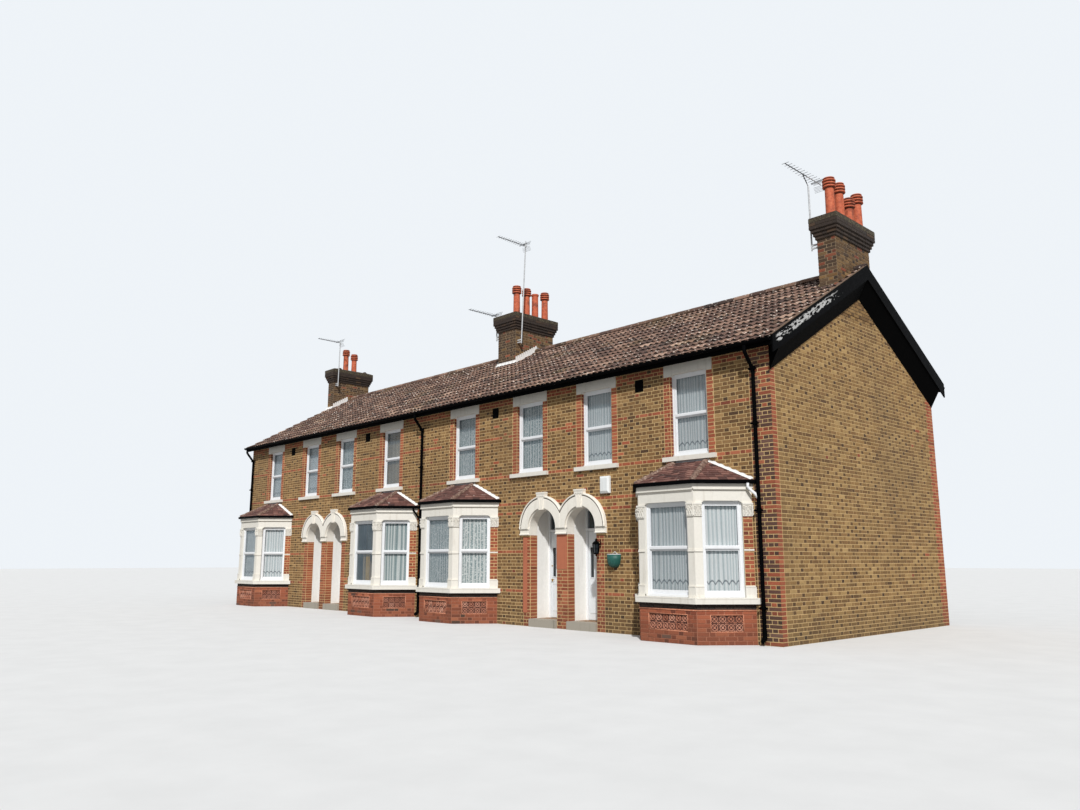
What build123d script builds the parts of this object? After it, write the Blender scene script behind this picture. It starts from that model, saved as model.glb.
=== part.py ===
from build123d import *
from math import atan2, cos, degrees, hypot, radians, sin, tan
import os

# A row of four brick houses in two mirrored pairs, in millimetres.
# X runs along the row, +Y goes from the street front to the back, +Z is up.
# The origin is at ground level in the middle of the row and of its depth.

# Plan of the row
house_width = 5270
house_count = 4
front_run = 3800
rear_run = 3480
brick_wall = 215
party_wall = 215
end_wall = 327
depth = front_run + rear_run
face_y = -depth / 2
back_y = depth / 2
ridge_y = face_y + front_run
half_row = house_count * house_width / 2
row_end = half_row + end_wall / 2

# Levels above the ground
floor_level = 175
storey_split = 2700
upper_floor_thickness = 200
upper_floor_level = storey_split + upper_floor_thickness

# Upper windows, which the back wall repeats
window_width = 900
window_height = 1692
upper_sill_height = 625
upper_sill_top = upper_floor_level + upper_sill_height
sill_thickness = 90
sill_projection = 70
sill_bearing = 186
lintel_height = 240
lintel_bearing = 143
lintel_proud = 12
lintel_cover = 52
bay_side_offset = 1695
door_side_offset = 1080

# Roof, which starts just above the lintels
roof_pitch = 29.7
roof_rise = tan(radians(roof_pitch))
roof_thickness = 173
wall_head = upper_sill_top + window_height + lintel_height + lintel_cover
ridge_height = wall_head + roof_thickness + roof_rise * front_run
eaves_overhang = 250
verge_overhang = 250
board_thickness = 28
bargeboard_drop = 334
verge_soffit_drop = 740
fascia_height = 185
ridge_tile_half = 130
ridge_tile_rise = 45
tile_gauge = 333
tile_nose = 20
tile_head = 54

# Window and door joinery
reveal = 90
frame_depth = 70
frame_bar = 62
sash_bar = 70
glass_thickness = 16
rear_window_sill_top = 1100
rear_window_height = 1500
rear_door_height = 2080

# Canted bays on the ground floor
bay_half_front = 653
bay_half_back = 1360
bay_projection = 830
bay_wall = 215
bay_sill_bottom = 715
bay_sill_top = 825
bay_sill_proud = 90
panel_bottom = 225
panel_height = 300
panel_recess = 30
front_panel_half = 450
side_panel_half = 300
bay_post_width = 150
bay_stub_width = 185
bay_post_depth = 160
pedestal_height = 190
pedestal_proud = 22
capital_height = 230
capital_proud = 24
post_ring_height = 30
post_ring_level = 1660
entablature_bottom = 2528
bay_head = 2566
cornice_bottom = 2790
entablature_top = 2897
cornice_proud = 30
bay_eaves_thickness = 50
bay_roof_half_top = 388
bay_roof_clearance = 40
bay_roof_top = upper_sill_top - sill_thickness - bay_roof_clearance
bay_roof_proud = 42

# Paired entrances
door_offset = 607
door_half_width = 435
springing = 2205
impost_height = 145
impost_half_run = 1355
impost_proud = 45
arch_outer = 745
arch_proud = 30
hood_width = 85
hood_proud = 75
keystone_half_width = 85
keystone_proud = 85
keystone_lap = 15
keycap_half_width = 135
keycap_height = 97
keycap_proud = 100
keycap_lap = 12
doorstep_proud = 60
porch_depth = 590
porch_lining = 100
porch_ceiling = 2650
door_frame_bar = 50
door_frame_depth = 72
transom_bottom = 2140
transom_height = 60
door_gap = 6
door_leaf_thickness = 46
door_floor_gap = 8
hinge_radius = 7
hinge_play = 0.3
hinge_knuckle = 50
hinge_plate = 25
hinge_plate_thickness = 3
hinge_rises = (150, 925, 1700)
door_pane_width = 110
door_pane_bottom = 1110
door_pane_top = 1780
door_pane_offset = 262

# Chimneys
stack_end_width = 430
stack_middle_width = 808
stack_length = 1570
stack_forward = 95
stack_foot_depth = 1250
stack_neck_rise = 530
stack_head = 500
stack_foot = ridge_height - stack_foot_depth
stack_neck = ridge_height + stack_neck_rise
stack_top = stack_neck + stack_head
corbel_count = 4
corbel_height = 75
corbel_step = 29
pot_radius = 105
pot_bore = 78
pot_collar = 145
pot_collar_height = 200
pot_lip = 30
tall_pot = 900
middling_pot = 780
short_pot = 675
end_pot_inset = 145
flue_cap_radius = 105
flue_cap_wall = 18
flue_cap_length = 300

# Rainwater goods
gutter_radius = 58
gutter_wall = 5
gutter_drop = 60
pipe_radius = 36
pipe_stand_off = 55
pipe_foot = 260
pipe_knee = 120
pipe_bend = 60
pipe_neck_fall = 1.2
corner_pipe_inset = 318
left_pipe_inset = 160
middle_pipe_offset = 110
bay_gutter_width = 55
bay_gutter_depth = 70

# Small things on the walls and stacks
vent_width = 215
vent_height = 255
vent_proud = 14
vent_below_head = 109
vent_centre = upper_sill_top + window_height - vent_below_head
alarm_from_line = 1350
alarm_bottom = 2900
alarm_width = 270
alarm_height = 370
alarm_depth = 90
lantern_from_line = 1170
lantern_centre = 1757
lantern_radius = 90
lantern_height = 380
lantern_gap = 60
lantern_arm = 30
lantern_arm_level = 1820
side_gap = house_width - bay_side_offset - bay_half_back - impost_half_run
basket_from_line = impost_half_run + side_gap / 4
basket_radius = side_gap / 5
basket_top = 1625
basket_height = 290
basket_wall = 12

# Aerials: each mast's foot, its top and its lean, then how far its boom reaches to the front and to the
# back of the mast and how high it is. Heights are from the stack's neck.
mast_radius = 19
mast_stand_off = 165
mast_setback = 80
boom_radius = 11
bracket_size = 34
bracket_rises = (30, 100)
right_mast = (-180, 1340, 0)
right_boom = (960, 590, 1565)
middle_mast = (-480, 2700, 180)
middle_boom = (1095, 60, 2550)
second_mast = (-200, 610, 0)
second_boom = (1100, 60, 590)
left_mast = (-200, 1556, 40)
left_boom = (950, 60, 1540)

party_lines = [half_row - house_width * i for i in range(house_count + 1)]
pair_lines = [party_lines[1], party_lines[3]]


def away(house):
    """Which way a house's bay lies from its shared entrance: +1 is right."""
    return 1 if house % 2 == 0 else -1


def pair_line(house):
    return pair_lines[house // 2]


bay_centres = [pair_line(h) + away(h) * (house_width - bay_side_offset) for h in range(house_count)]
door_centres = [pair_line(h) + away(h) * door_offset for h in range(house_count)]
hall_windows = [pair_line(h) + away(h) * door_side_offset for h in range(house_count)]
upper_windows = bay_centres + hall_windows


def block(x0, x1, y0, y1, z0, z1):
    """A plain block between two corners."""
    size = (abs(x1 - x0), abs(y1 - y0), abs(z1 - z0))
    return Pos((x0 + x1) / 2, (y0 + y1) / 2, (z0 + z1) / 2) * Box(*size)


def prism(points, z0, z1):
    """An upright prism on a plan outline."""
    outline = Polyline(*[(x, y, z0) for x, y in points], close=True)
    return extrude(make_face(outline), amount=z1 - z0, dir=(0, 0, 1))


def along_x(points, x0, x1):
    """A bar along the row, from its outline in Y and Z."""
    outline = Polyline(*[(x0, y, z) for y, z in points], close=True)
    return extrude(make_face(outline), amount=x1 - x0, dir=(1, 0, 0))


def up_slope(points, y0, y1):
    """A bar that follows the roof slope, from its outline in X and height below the tiles."""
    outline = Polyline(*[(x, y0, roof_surface(y0) + z) for x, z in points], close=True)
    rise = roof_surface(y1) - roof_surface(y0)
    return extrude(make_face(outline), amount=hypot(y1 - y0, rise), dir=(0, y1 - y0, rise))


def roof_surface(y):
    return ridge_height - roof_rise * abs(y - ridge_y)


def tube(radius, start, end):
    """A round bar from one point to another."""
    path = Vector(*end) - Vector(*start)
    return Plane(origin=start, z_dir=path) * Cylinder(
        radius, path.length, align=(Align.CENTER, Align.CENTER, Align.MIN))


def solids(*shapes):
    """All separate solids of one node."""
    found = []
    for shape in shapes:
        found += shape.solids()
    return Compound(children=found)


# Bays

cant = atan2(bay_projection, bay_half_back - bay_half_front)
cant_length = hypot(bay_projection, bay_half_back - bay_half_front)


def bay_outline(out):
    """Right half of a bay's plan, moved outward: wall end, then front corner."""
    half_back = bay_half_back + out / sin(cant)
    half_front = bay_half_front + out * tan(cant / 2)
    return (half_back, face_y), (half_front, face_y - bay_projection - out)


def bay_loop(out):
    (x1, y1), (x2, y2) = bay_outline(out)
    return [(-x1, y1), (-x2, y2), (x2, y2), (x1, y1)]


def bay_band(outer, inner, z0, z1):
    """A band round the three sides of a bay."""
    return prism(bay_loop(outer) + bay_loop(inner)[::-1], z0, z1)


def on_cant(along, out):
    """A point of the right cant, from the front corner and outward from its face."""
    x = bay_half_front + along * cos(cant) + out * sin(cant)
    return x, face_y - bay_projection + along * sin(cant) - out * cos(cant)


def corner_post(proud, inset, width, z0, z1):
    """A post that wraps the front corner."""
    front = face_y - bay_projection
    (_, _), outer = bay_outline(proud)
    (_, _), inner = bay_outline(-inset)
    points = [(bay_half_front - width, front - proud), outer, on_cant(width, proud),
              on_cant(width, -inset), inner, (bay_half_front - width, front + inset)]
    return prism(points, z0, z1)


def wall_post(proud, inset, width, z0, z1):
    """A post where the cant meets the house."""
    outer, _ = bay_outline(proud)
    inner, _ = bay_outline(-inset)
    start = cant_length - width
    return prism([on_cant(start, proud), outer, inner, on_cant(start, -inset)], z0, z1)


def dressed(post, width):
    """A post with its pedestal, middle ring and capital."""
    pedestal_top = bay_sill_top + pedestal_height
    capital_bottom = entablature_bottom - capital_height
    shape = post(0, bay_post_depth, width, bay_sill_top, entablature_bottom)
    shape += post(pedestal_proud, bay_post_depth, width, bay_sill_top, pedestal_top)
    shape += post(capital_proud, bay_post_depth, width, capital_bottom, entablature_bottom)
    shape += post(capital_proud / 2, bay_post_depth, width,
                  post_ring_level, post_ring_level + post_ring_height)
    return shape


def both_sides(shape):
    return [shape, mirror(shape, about=Plane.YZ)]


def window(width, height, meeting):
    """A frame with two lights, its outer face on Y = 0, and its two panes."""
    half = width / 2
    frame = block(-half, half, 0, frame_depth, 0, height)
    panes = []
    for low, high in ((frame_bar, meeting - sash_bar / 2), (meeting + sash_bar / 2, height - frame_bar)):
        frame -= block(-half + frame_bar, half - frame_bar, -1, frame_depth + 1, low, high)
        middle = frame_depth / 2
        panes.append(block(-half + frame_bar, half - frame_bar, middle - glass_thickness / 2,
                           middle + glass_thickness / 2, low, high))
    return frame, panes


def bay_windows():
    """Frames and panes of one bay about X = 0."""
    height = bay_head - bay_sill_top
    setback = bay_post_depth - frame_depth - 20
    width = 2 * (bay_half_front - bay_post_width)
    frame, panes = window(width, height, height * 0.515)
    at_front = Pos(0, face_y - bay_projection + setback, bay_sill_top)
    frames = [at_front * frame]
    glass = [at_front * pane for pane in panes]
    cant_width = cant_length - bay_post_width - bay_stub_width
    frame, panes = window(cant_width, height, height * 0.515)
    x, y = on_cant(bay_post_width + cant_width / 2, -setback)
    at_side = Pos(x, y, bay_sill_top) * Rot(0, 0, degrees(cant))
    for shape in both_sides(at_side * frame):
        frames.append(shape)
    for pane in panes:
        glass += both_sides(at_side * pane)
    return frames, glass


def bay_base():
    """The low brick wall of a bay, with a sunk panel in each face."""
    shape = bay_band(0, -bay_wall, 0, bay_sill_bottom)
    top = panel_bottom + panel_height
    front = face_y - bay_projection
    shape -= block(-front_panel_half, front_panel_half, front - 1, front + panel_recess, panel_bottom, top)
    near, far = cant_length / 2 - side_panel_half, cant_length / 2 + side_panel_half
    plan = [on_cant(near, 1), on_cant(far, 1), on_cant(far, -panel_recess), on_cant(near, -panel_recess)]
    for panel in both_sides(prism(plan, panel_bottom, top)):
        shape -= panel
    return shape


def bay_entablature():
    shape = bay_band(0, -bay_wall, entablature_bottom, entablature_top)
    shape += bay_band(cornice_proud, -bay_wall, cornice_bottom, entablature_top)
    front = face_y - bay_projection
    half = bay_half_front - bay_post_width
    shape -= block(-half, half, front - 100, front + bay_wall + 1, entablature_bottom - 1, bay_head)
    light = [on_cant(bay_post_width, 100), on_cant(cant_length - bay_stub_width, 100),
             on_cant(cant_length - bay_stub_width, -bay_wall - 1), on_cant(bay_post_width, -bay_wall - 1)]
    for notch in both_sides(prism(light, entablature_bottom - 1, bay_head)):
        shape -= notch
    return shape


def bay_roof():
    """A hipped roof that leans on the front wall."""
    low = bay_loop(bay_roof_proud)
    edge = entablature_top + bay_eaves_thickness
    bottom = [(x, y, entablature_top) for x, y in low]
    eaves = [(x, y, edge) for x, y in low]
    top = [(-bay_roof_half_top, face_y, bay_roof_top), (bay_roof_half_top, face_y, bay_roof_top)]
    faces = [bottom[::-1], [bottom[0], eaves[0], top[0], top[1], eaves[3], bottom[3]]]
    for i in range(3):
        faces.append([bottom[i], bottom[i + 1], eaves[i + 1], eaves[i]])
    faces.append([eaves[1], eaves[2], top[1], top[0]])
    faces.append([eaves[0], eaves[1], top[0]])
    faces.append([eaves[2], eaves[3], top[1]])
    shell = Shell([Face(Wire.make_polygon(face, close=True)) for face in faces])
    return Solid(shell)


def bay_gutter():
    low = entablature_top + bay_eaves_thickness - bay_gutter_depth
    high = entablature_top + bay_eaves_thickness - 4
    outer = bay_roof_proud + bay_gutter_width
    trough = bay_band(outer, bay_roof_proud, low, high)
    return trough - bay_band(outer - gutter_wall, bay_roof_proud + gutter_wall, low + gutter_wall, high + 1)


def at_bays(*shapes):
    return [Pos(x, 0, 0) * shape for x in bay_centres for shape in shapes]


# Walls

bay_opening = bay_half_back - bay_wall / sin(cant)
loft = along_x([(face_y - eaves_overhang, -1), (face_y - eaves_overhang,
               roof_surface(face_y - eaves_overhang) - roof_thickness),
               (ridge_y, ridge_height - roof_thickness),
               (back_y + eaves_overhang, roof_surface(back_y + eaves_overhang) - roof_thickness),
               (back_y + eaves_overhang, -1)], -row_end, row_end)


def arch_disc(x, radius, y0, y1):
    """A half disc above the springing line."""
    disc = Pos(x, (y0 + y1) / 2, springing) * Rot(90, 0, 0) * Cylinder(radius, y1 - y0)
    return disc & block(x - radius, x + radius, y0, y1, springing, springing + radius + 1)


arch_seats = [arch_disc(x, arch_outer, face_y, face_y + brick_wall) for x in door_centres]
impost_seats = [block(x - impost_half_run, x + impost_half_run, face_y, face_y + brick_wall,
                      springing - impost_height, springing) for x in pair_lines]


def front_wall_piers():
    """The brick piers beside the bays and the doorways."""
    gaps = [(x - bay_opening, x + bay_opening) for x in bay_centres]
    gaps += [(x - door_half_width, x + door_half_width) for x in door_centres]
    gaps.sort()
    starts = [-row_end] + [high for low, high in gaps]
    ends = [low for low, high in gaps] + [row_end]
    piers = []
    for start, end in zip(starts, ends):
        between_doors = any(start < x < end for x in pair_lines)
        top = springing - impost_height if between_doors else storey_split
        pier = block(start, end, face_y, face_y + brick_wall, 0, top)
        for seat in arch_seats + impost_seats:
            pier -= seat
        piers.append(pier)
    return solids(*piers)


def opening(x, width, sill, height, y):
    return block(x - width / 2, x + width / 2, y - 1, y + brick_wall + 1, sill, sill + height)


def lintel_seat(x, width, bottom, y0, y1):
    return block(x - width / 2 - lintel_bearing, x + width / 2 + lintel_bearing, y0, y1,
                 bottom, bottom + lintel_height)


def sill_seat(x, width, top, y0, y1):
    return block(x - width / 2 - sill_bearing, x + width / 2 + sill_bearing, y0, y1,
                 top - sill_thickness, top)


lintel_depth = 105
rear_wall_face = back_y - brick_wall
front_lintels = [lintel_seat(x, window_width, upper_sill_top + window_height,
                             face_y - lintel_proud, face_y + lintel_depth) for x in upper_windows]
front_sills = [sill_seat(x, window_width, upper_sill_top, face_y - sill_projection,
                         face_y + reveal) for x in upper_windows]
rear_lintels = [lintel_seat(x, window_width, upper_sill_top + window_height,
                            back_y - lintel_depth, back_y + lintel_proud) for x in upper_windows]
rear_sills = [sill_seat(x, window_width, upper_sill_top, back_y - reveal,
                        back_y + sill_projection) for x in upper_windows]
low_lintels = [lintel_seat(x, window_width, rear_window_sill_top + rear_window_height - lintel_height,
                           back_y - lintel_depth, back_y + lintel_proud) for x in bay_centres]
low_lintels += [lintel_seat(x, window_width, floor_level + rear_door_height,
                            back_y - lintel_depth, back_y + lintel_proud) for x in hall_windows]
low_sills = [sill_seat(x, window_width, rear_window_sill_top, back_y - reveal,
                       back_y + sill_projection) for x in bay_centres]


def front_wall_upper():
    wall = block(-row_end, row_end, face_y, face_y + brick_wall, storey_split, ridge_height)
    for x in pair_lines:
        wall += block(x - door_offset, x + door_offset, face_y, face_y + brick_wall, springing, storey_split)
    for seat in arch_seats + front_lintels + front_sills:
        wall -= seat
    for x in upper_windows:
        wall -= opening(x, window_width, upper_sill_top, window_height, face_y)
    return solids(wall & loft)


def rear_wall_upper():
    wall = block(-row_end, row_end, rear_wall_face, back_y, storey_split, ridge_height)
    for seat in rear_lintels + rear_sills:
        wall -= seat
    for x in upper_windows:
        wall -= opening(x, window_width, upper_sill_top, window_height, rear_wall_face)
    return solids(wall & loft)


def rear_wall_lower():
    wall = block(-row_end, row_end, rear_wall_face, back_y, 0, storey_split)
    for seat in low_lintels + low_sills:
        wall -= seat
    height = rear_window_height - lintel_height
    for x in bay_centres:
        wall -= opening(x, window_width, rear_window_sill_top, height, rear_wall_face)
    for x in hall_windows:
        wall -= opening(x, window_width, 0, floor_level + rear_door_height, rear_wall_face)
    return solids(wall)


# Chimney stacks: centre, width and how far each oversailing course reaches

stack_y0 = ridge_y - stack_forward - stack_length / 2
stack_y1 = stack_y0 + stack_length
stack_spans = [(row_end - stack_end_width, row_end),
               (-stack_middle_width / 2, stack_middle_width / 2),
               (-row_end, -row_end + stack_end_width)]


def stack(x0, x1):
    shape = block(x0, x1, stack_y0, stack_y1, stack_foot, stack_top)
    for i in range(corbel_count):
        out = corbel_step * (i + 1)
        low = stack_neck + corbel_height * i
        high = stack_top if i == corbel_count - 1 else low + corbel_height
        shape += block(x0 - out, x1 + out, stack_y0 - out, stack_y1 + out, low, high)
    return shape


shafts = [block(x0, x1, stack_y0, stack_y1, stack_foot, stack_top) for x0, x1 in stack_spans]


def less_shafts(shape):
    for shaft in shafts:
        shape -= shaft
    return shape


inner_y0 = face_y + brick_wall
inner_y1 = back_y - brick_wall
party_half = party_wall / 2


def party_walls():
    walls = []
    for x in party_lines[1:-1]:
        wall = block(x - party_half, x + party_half, inner_y0, inner_y1, 0, ridge_height)
        walls.append(less_shafts(wall & loft))
    return solids(*walls)


def end_wall_at(side):
    wall = block(side * (row_end - end_wall), side * row_end, inner_y0, inner_y1, 0, ridge_height)
    return solids(less_shafts(wall & loft))


def room_span(house):
    """Inner faces of a house's two side walls."""
    walls = sorted([party_lines[house], party_lines[house + 1]])
    low = walls[0] + (end_wall / 2 if house == house_count - 1 else party_half)
    high = walls[1] - (end_wall / 2 if house == 0 else party_half)
    return low, high


def floors():
    shapes = []
    for house, x in enumerate(bay_centres):
        low, high = room_span(house)
        slab = block(low, high, inner_y0, inner_y1, 0, floor_level)
        (back_x, back), (front_x, front) = bay_outline(-bay_wall)
        bay = [(x - back_x, inner_y0), (x - back_x, back), (x - front_x, front),
               (x + front_x, front), (x + back_x, back), (x + back_x, inner_y0)]
        slab += prism(bay, 0, floor_level)
        shapes.append(slab)
        shapes.append(block(low, high, inner_y0, inner_y1, storey_split, upper_floor_level))
    return solids(*shapes)


# Roof: the outer face of each fascia, and the end of the slope behind it

eaves_edges = [(face_y - eaves_overhang, face_y - eaves_overhang + board_thickness),
               (back_y + eaves_overhang, back_y + eaves_overhang - board_thickness)]


def tile_courses(edge, inner):
    """The upper outline of a slope: one step for each course, then the bed of the ridge tiles."""
    towards = 1 if edge < ridge_y else -1
    run = tile_gauge * cos(radians(roof_pitch))
    bed = ridge_y - towards * ridge_tile_half
    points = [(inner, roof_surface(inner) - tile_nose)]
    step = edge + towards * run
    while (bed - step) * towards > 0:
        points += [(step, roof_surface(step) - tile_head), (step, roof_surface(step) - tile_nose)]
        step += towards * run
    return points + [(bed, roof_surface(bed) - tile_head), (bed, roof_surface(bed))]


def roof_slope(edge, inner):
    outline = tile_courses(edge, inner)
    outline += [(ridge_y, ridge_height), (ridge_y, ridge_height - roof_thickness),
                (inner, roof_surface(inner) - roof_thickness)]
    slab = along_x(outline, -row_end, row_end + verge_overhang - board_thickness)
    return solids(less_shafts(slab))


def ridge_tiles():
    """Angled ridge tiles in runs between the stacks."""
    shapes = []
    runs = [(-row_end + stack_end_width, -stack_middle_width / 2),
            (stack_middle_width / 2, row_end - stack_end_width),
            (row_end, row_end + verge_overhang)]
    drop = ridge_tile_half * roof_rise
    for start, end in runs:
        top = ridge_height + ridge_tile_rise
        outline = [(ridge_y - ridge_tile_half, ridge_height - drop), (ridge_y, ridge_height),
                   (ridge_y + ridge_tile_half, ridge_height - drop),
                   (ridge_y + ridge_tile_half, top - drop), (ridge_y, top),
                   (ridge_y - ridge_tile_half, top - drop)]
        shapes.append(along_x(outline, start, end))
    return solids(*shapes)


def bargeboards():
    outer = row_end + verge_overhang
    outline = [(outer - board_thickness, 0), (outer, 0), (outer, -bargeboard_drop),
               (outer - board_thickness, -bargeboard_drop)]
    front = up_slope(outline, face_y - eaves_overhang, ridge_y)
    rear = up_slope(outline, back_y + eaves_overhang, ridge_y)
    return solids(front + rear)


def verge_soffits():
    """The boxed underside of the verge, deeper against the wall."""
    outer = row_end + verge_overhang - board_thickness
    outline = [(row_end, -roof_thickness), (outer, -roof_thickness), (outer, -bargeboard_drop),
               (row_end, -verge_soffit_drop)]
    front = up_slope(outline, face_y, ridge_y)
    rear = up_slope(outline, back_y, ridge_y)
    return solids(front + rear)


def eaves_boards():
    """A fascia over the rafter feet at the front and at the back."""
    shapes = []
    for edge, inner in eaves_edges:
        top = roof_surface(edge)
        outline = [(edge, top), (edge, top - fascia_height), (inner, top - fascia_height), (inner, top)]
        shapes.append(along_x(outline, -row_end, row_end + verge_overhang - board_thickness))
    return solids(*shapes)


def gutter(y, top):
    outer = Pos(0, y, top) * Rot(0, 90, 0) * Cylinder(gutter_radius, 1)
    ring = Pos(0, y, top) * Rot(0, 90, 0) * Cylinder(gutter_radius - gutter_wall, 2)
    section = (outer - ring) & block(-1, 1, y - gutter_radius, y + gutter_radius, top - gutter_radius, top)
    face = section.faces().sort_by(Axis.X)[-1]
    run = row_end * 2 + verge_overhang - board_thickness
    return Pos(-row_end - 0.5, 0, 0) * extrude(face, amount=run, dir=(1, 0, 0))


def gutters():
    shapes = at_bays(bay_gutter())
    for edge, out in ((eaves_edges[0][0], -1), (eaves_edges[1][0], 1)):
        shapes.append(gutter(edge + out * gutter_radius, roof_surface(edge) - gutter_drop))
    return solids(*shapes)


def downpipe(x, wall_y, out):
    """A pipe down the wall, with a swan neck back from the gutter."""
    y = wall_y + out * pipe_stand_off
    edge = wall_y + out * (eaves_overhang + gutter_radius)
    outlet = roof_surface(wall_y + out * eaves_overhang) - gutter_drop - gutter_radius
    knee = outlet - pipe_knee
    foot = knee - abs(edge - y) * pipe_neck_fall
    path = FilletPolyline((x, edge, outlet), (x, edge, knee), (x, y, foot), (x, y, pipe_foot),
                          radius=pipe_bend)
    profile = Plane(origin=(x, edge, outlet), z_dir=(0, 0, -1)) * Circle(pipe_radius)
    return sweep(profile, path)


front_pipes = [row_end - corner_pipe_inset, -middle_pipe_offset, -row_end + left_pipe_inset]
rear_pipes = [row_end - corner_pipe_inset, 0, -row_end + corner_pipe_inset]


def downpipes():
    shapes = [downpipe(x, face_y, -1) for x in front_pipes]
    shapes += [downpipe(x, back_y, 1) for x in rear_pipes]
    return solids(*shapes)


# Chimney pots: place along the row, distance from the stack's front, height

right_pot_x = row_end - end_pot_inset
left_pot_x = -row_end + stack_end_width / 2
pots = [(right_pot_x, 160, tall_pot), (right_pot_x, 590, tall_pot), (right_pot_x, 1020, short_pot),
        (right_pot_x, 1440, tall_pot), (240, 180, tall_pot), (250, 580, tall_pot), (290, 900, middling_pot),
        (330, 1280, tall_pot), (left_pot_x, 612, tall_pot), (left_pot_x, 985, middling_pot)]
flue_caps = [(-190, 330), (left_pot_x, 276), (left_pot_x, 1415)]


def pot(x, along, height):
    y = stack_y0 + along
    middle = stack_top + height / 2
    shape = Pos(x, y, middle) * Cylinder(pot_radius, height)
    collar_top = stack_top + height - pot_lip
    shape += Pos(x, y, collar_top - pot_collar_height / 2) * Cylinder(pot_collar, pot_collar_height)
    return shape - Pos(x, y, middle) * Cylinder(pot_bore, height + 2)


def flue_cap(x, along):
    """A half-round tile over a flue that is no longer used, open at both ends."""
    at = Pos(x, stack_y0 + along, stack_top) * Rot(0, 90, 0)
    shape = at * Cylinder(flue_cap_radius, flue_cap_length)
    shape -= at * Cylinder(flue_cap_radius - flue_cap_wall, flue_cap_length + 2)
    half = flue_cap_length / 2
    y = stack_y0 + along
    return shape & block(x - half, x + half, y - flue_cap_radius, y + flue_cap_radius,
                         stack_top, stack_top + flue_cap_radius)


def chimney_pots():
    shapes = [pot(x, along, height) for x, along, height in pots]
    return solids(*shapes, *[flue_cap(x, along) for x, along in flue_caps])


def aerial(x, y, mast, boom, face):
    """A mast held off the side face of a stack by two brackets, with its boom."""
    low, high = stack_neck + mast[0], stack_neck + mast[1]
    lean = mast[2]
    foot = (x, y, low)
    top = (x + lean, y, high)
    shape = tube(mast_radius, foot, top)
    half = bracket_size / 2
    for rise in bracket_rises:
        at = x + lean * rise / (high - low)
        z = low + rise
        shape += block(at, face, y - half, y + half, z, z + bracket_size)
    to_front, to_back, rise = boom
    level = stack_neck + rise
    at = x + lean * min(1, (level - low) / (high - low))
    shape += tube(boom_radius, (at, y - to_front, level), (at, y + to_back, level))
    if level > high:
        shape += tube(boom_radius, top, (at, y - (level - high), level))
    return shape


def aerials():
    y = stack_y0 + mast_setback
    right_face = row_end - stack_end_width
    middle_face = stack_middle_width / 2
    left_face = -right_face
    off = mast_stand_off
    return solids(aerial(right_face - off, y, right_mast, right_boom, right_face),
                  aerial(middle_face + off, y, middle_mast, middle_boom, middle_face),
                  aerial(-middle_face - off, y, second_mast, second_boom, -middle_face),
                  aerial(left_face + off, y, left_mast, left_boom, left_face))


# Entrances

def door_arches():
    shapes = []
    for line in pair_lines:
        mouths = [x for x in door_centres if abs(x - line) < house_width / 2]
        wall_back = face_y + brick_wall
        stone = block(line - impost_half_run, line + impost_half_run, face_y - impost_proud, wall_back,
                      springing - impost_height, springing)
        for x in mouths:
            stone += arch_disc(x, arch_outer - hood_width, face_y - arch_proud, wall_back)
            stone += arch_disc(x, arch_outer, face_y - hood_proud, wall_back)
        for x in mouths:
            stone -= arch_disc(x, arch_outer - hood_width, face_y - hood_proud - 1, face_y - arch_proud)
        for x in mouths:
            crown = springing + arch_outer - keycap_lap
            stone += block(x - keystone_half_width, x + keystone_half_width, face_y - keystone_proud,
                           face_y, springing + door_half_width - keystone_lap, crown + keycap_lap)
            stone += block(x - keycap_half_width, x + keycap_half_width, face_y - keycap_proud,
                           face_y, crown, crown + keycap_height)
        for x in mouths:
            stone -= arch_disc(x, door_half_width, face_y - 300, wall_back + 1)
            stone -= block(x - door_half_width, x + door_half_width, face_y - 300, wall_back + 1,
                           springing - impost_height - 1, springing + 1)
        shapes.append(stone)
    return solids(*shapes)


def doorsteps():
    return solids(*[block(x - door_half_width, x + door_half_width, face_y - doorstep_proud,
                          face_y + brick_wall, 0, floor_level) for x in door_centres])


frame_y0 = face_y + porch_depth
frame_y1 = frame_y0 + door_frame_depth


def porch_linings():
    shapes = []
    for house, x in enumerate(door_centres):
        side = away(house)
        line = pair_line(house)
        near = line + side * party_half
        far = x + side * (door_half_width + porch_lining)
        shape = block(near, far, inner_y0, frame_y1, floor_level, storey_split)
        shape -= block(x - door_half_width, x + door_half_width, inner_y0 - 1, frame_y1 + 1,
                       floor_level - 1, porch_ceiling)
        shapes.append(shape)
    return solids(*shapes)


def hinge_axis(house):
    """The pin line of a front door, on its party wall side and just inside its inner face."""
    x = door_centres[house] - away(house) * (door_half_width - door_frame_bar - door_gap / 2)
    return x, frame_y1 + hinge_radius + hinge_play


def knuckles(house, towards, lift):
    """One half of each lift-off hinge: a knuckle and its plate on the frame or on the leaf."""
    x, y = hinge_axis(house)
    shapes = []
    for rise in hinge_rises:
        low = floor_level + door_floor_gap + rise + lift
        high = low + hinge_knuckle
        shapes.append(Pos(x, y, (low + high) / 2) * Cylinder(hinge_radius, hinge_knuckle))
        shapes.append(block(x + towards * door_gap / 2, x + towards * hinge_plate,
                            frame_y1, frame_y1 + hinge_plate_thickness, low, high))
    return shapes


def door_frames():
    shapes = []
    for house, x in enumerate(door_centres):
        frame = block(x - door_half_width, x + door_half_width, frame_y0, frame_y1,
                      floor_level, porch_ceiling)
        inner = door_half_width - door_frame_bar
        frame -= block(x - inner, x + inner, frame_y0 - 1, frame_y1 + 1, floor_level - 1, transom_bottom)
        frame -= block(x - inner, x + inner, frame_y0 - 1, frame_y1 + 1,
                       transom_bottom + transom_height, porch_ceiling - door_frame_bar)
        for piece in knuckles(house, -away(house), 0):
            frame += piece
        shapes.append(frame)
    return solids(*shapes)


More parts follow.
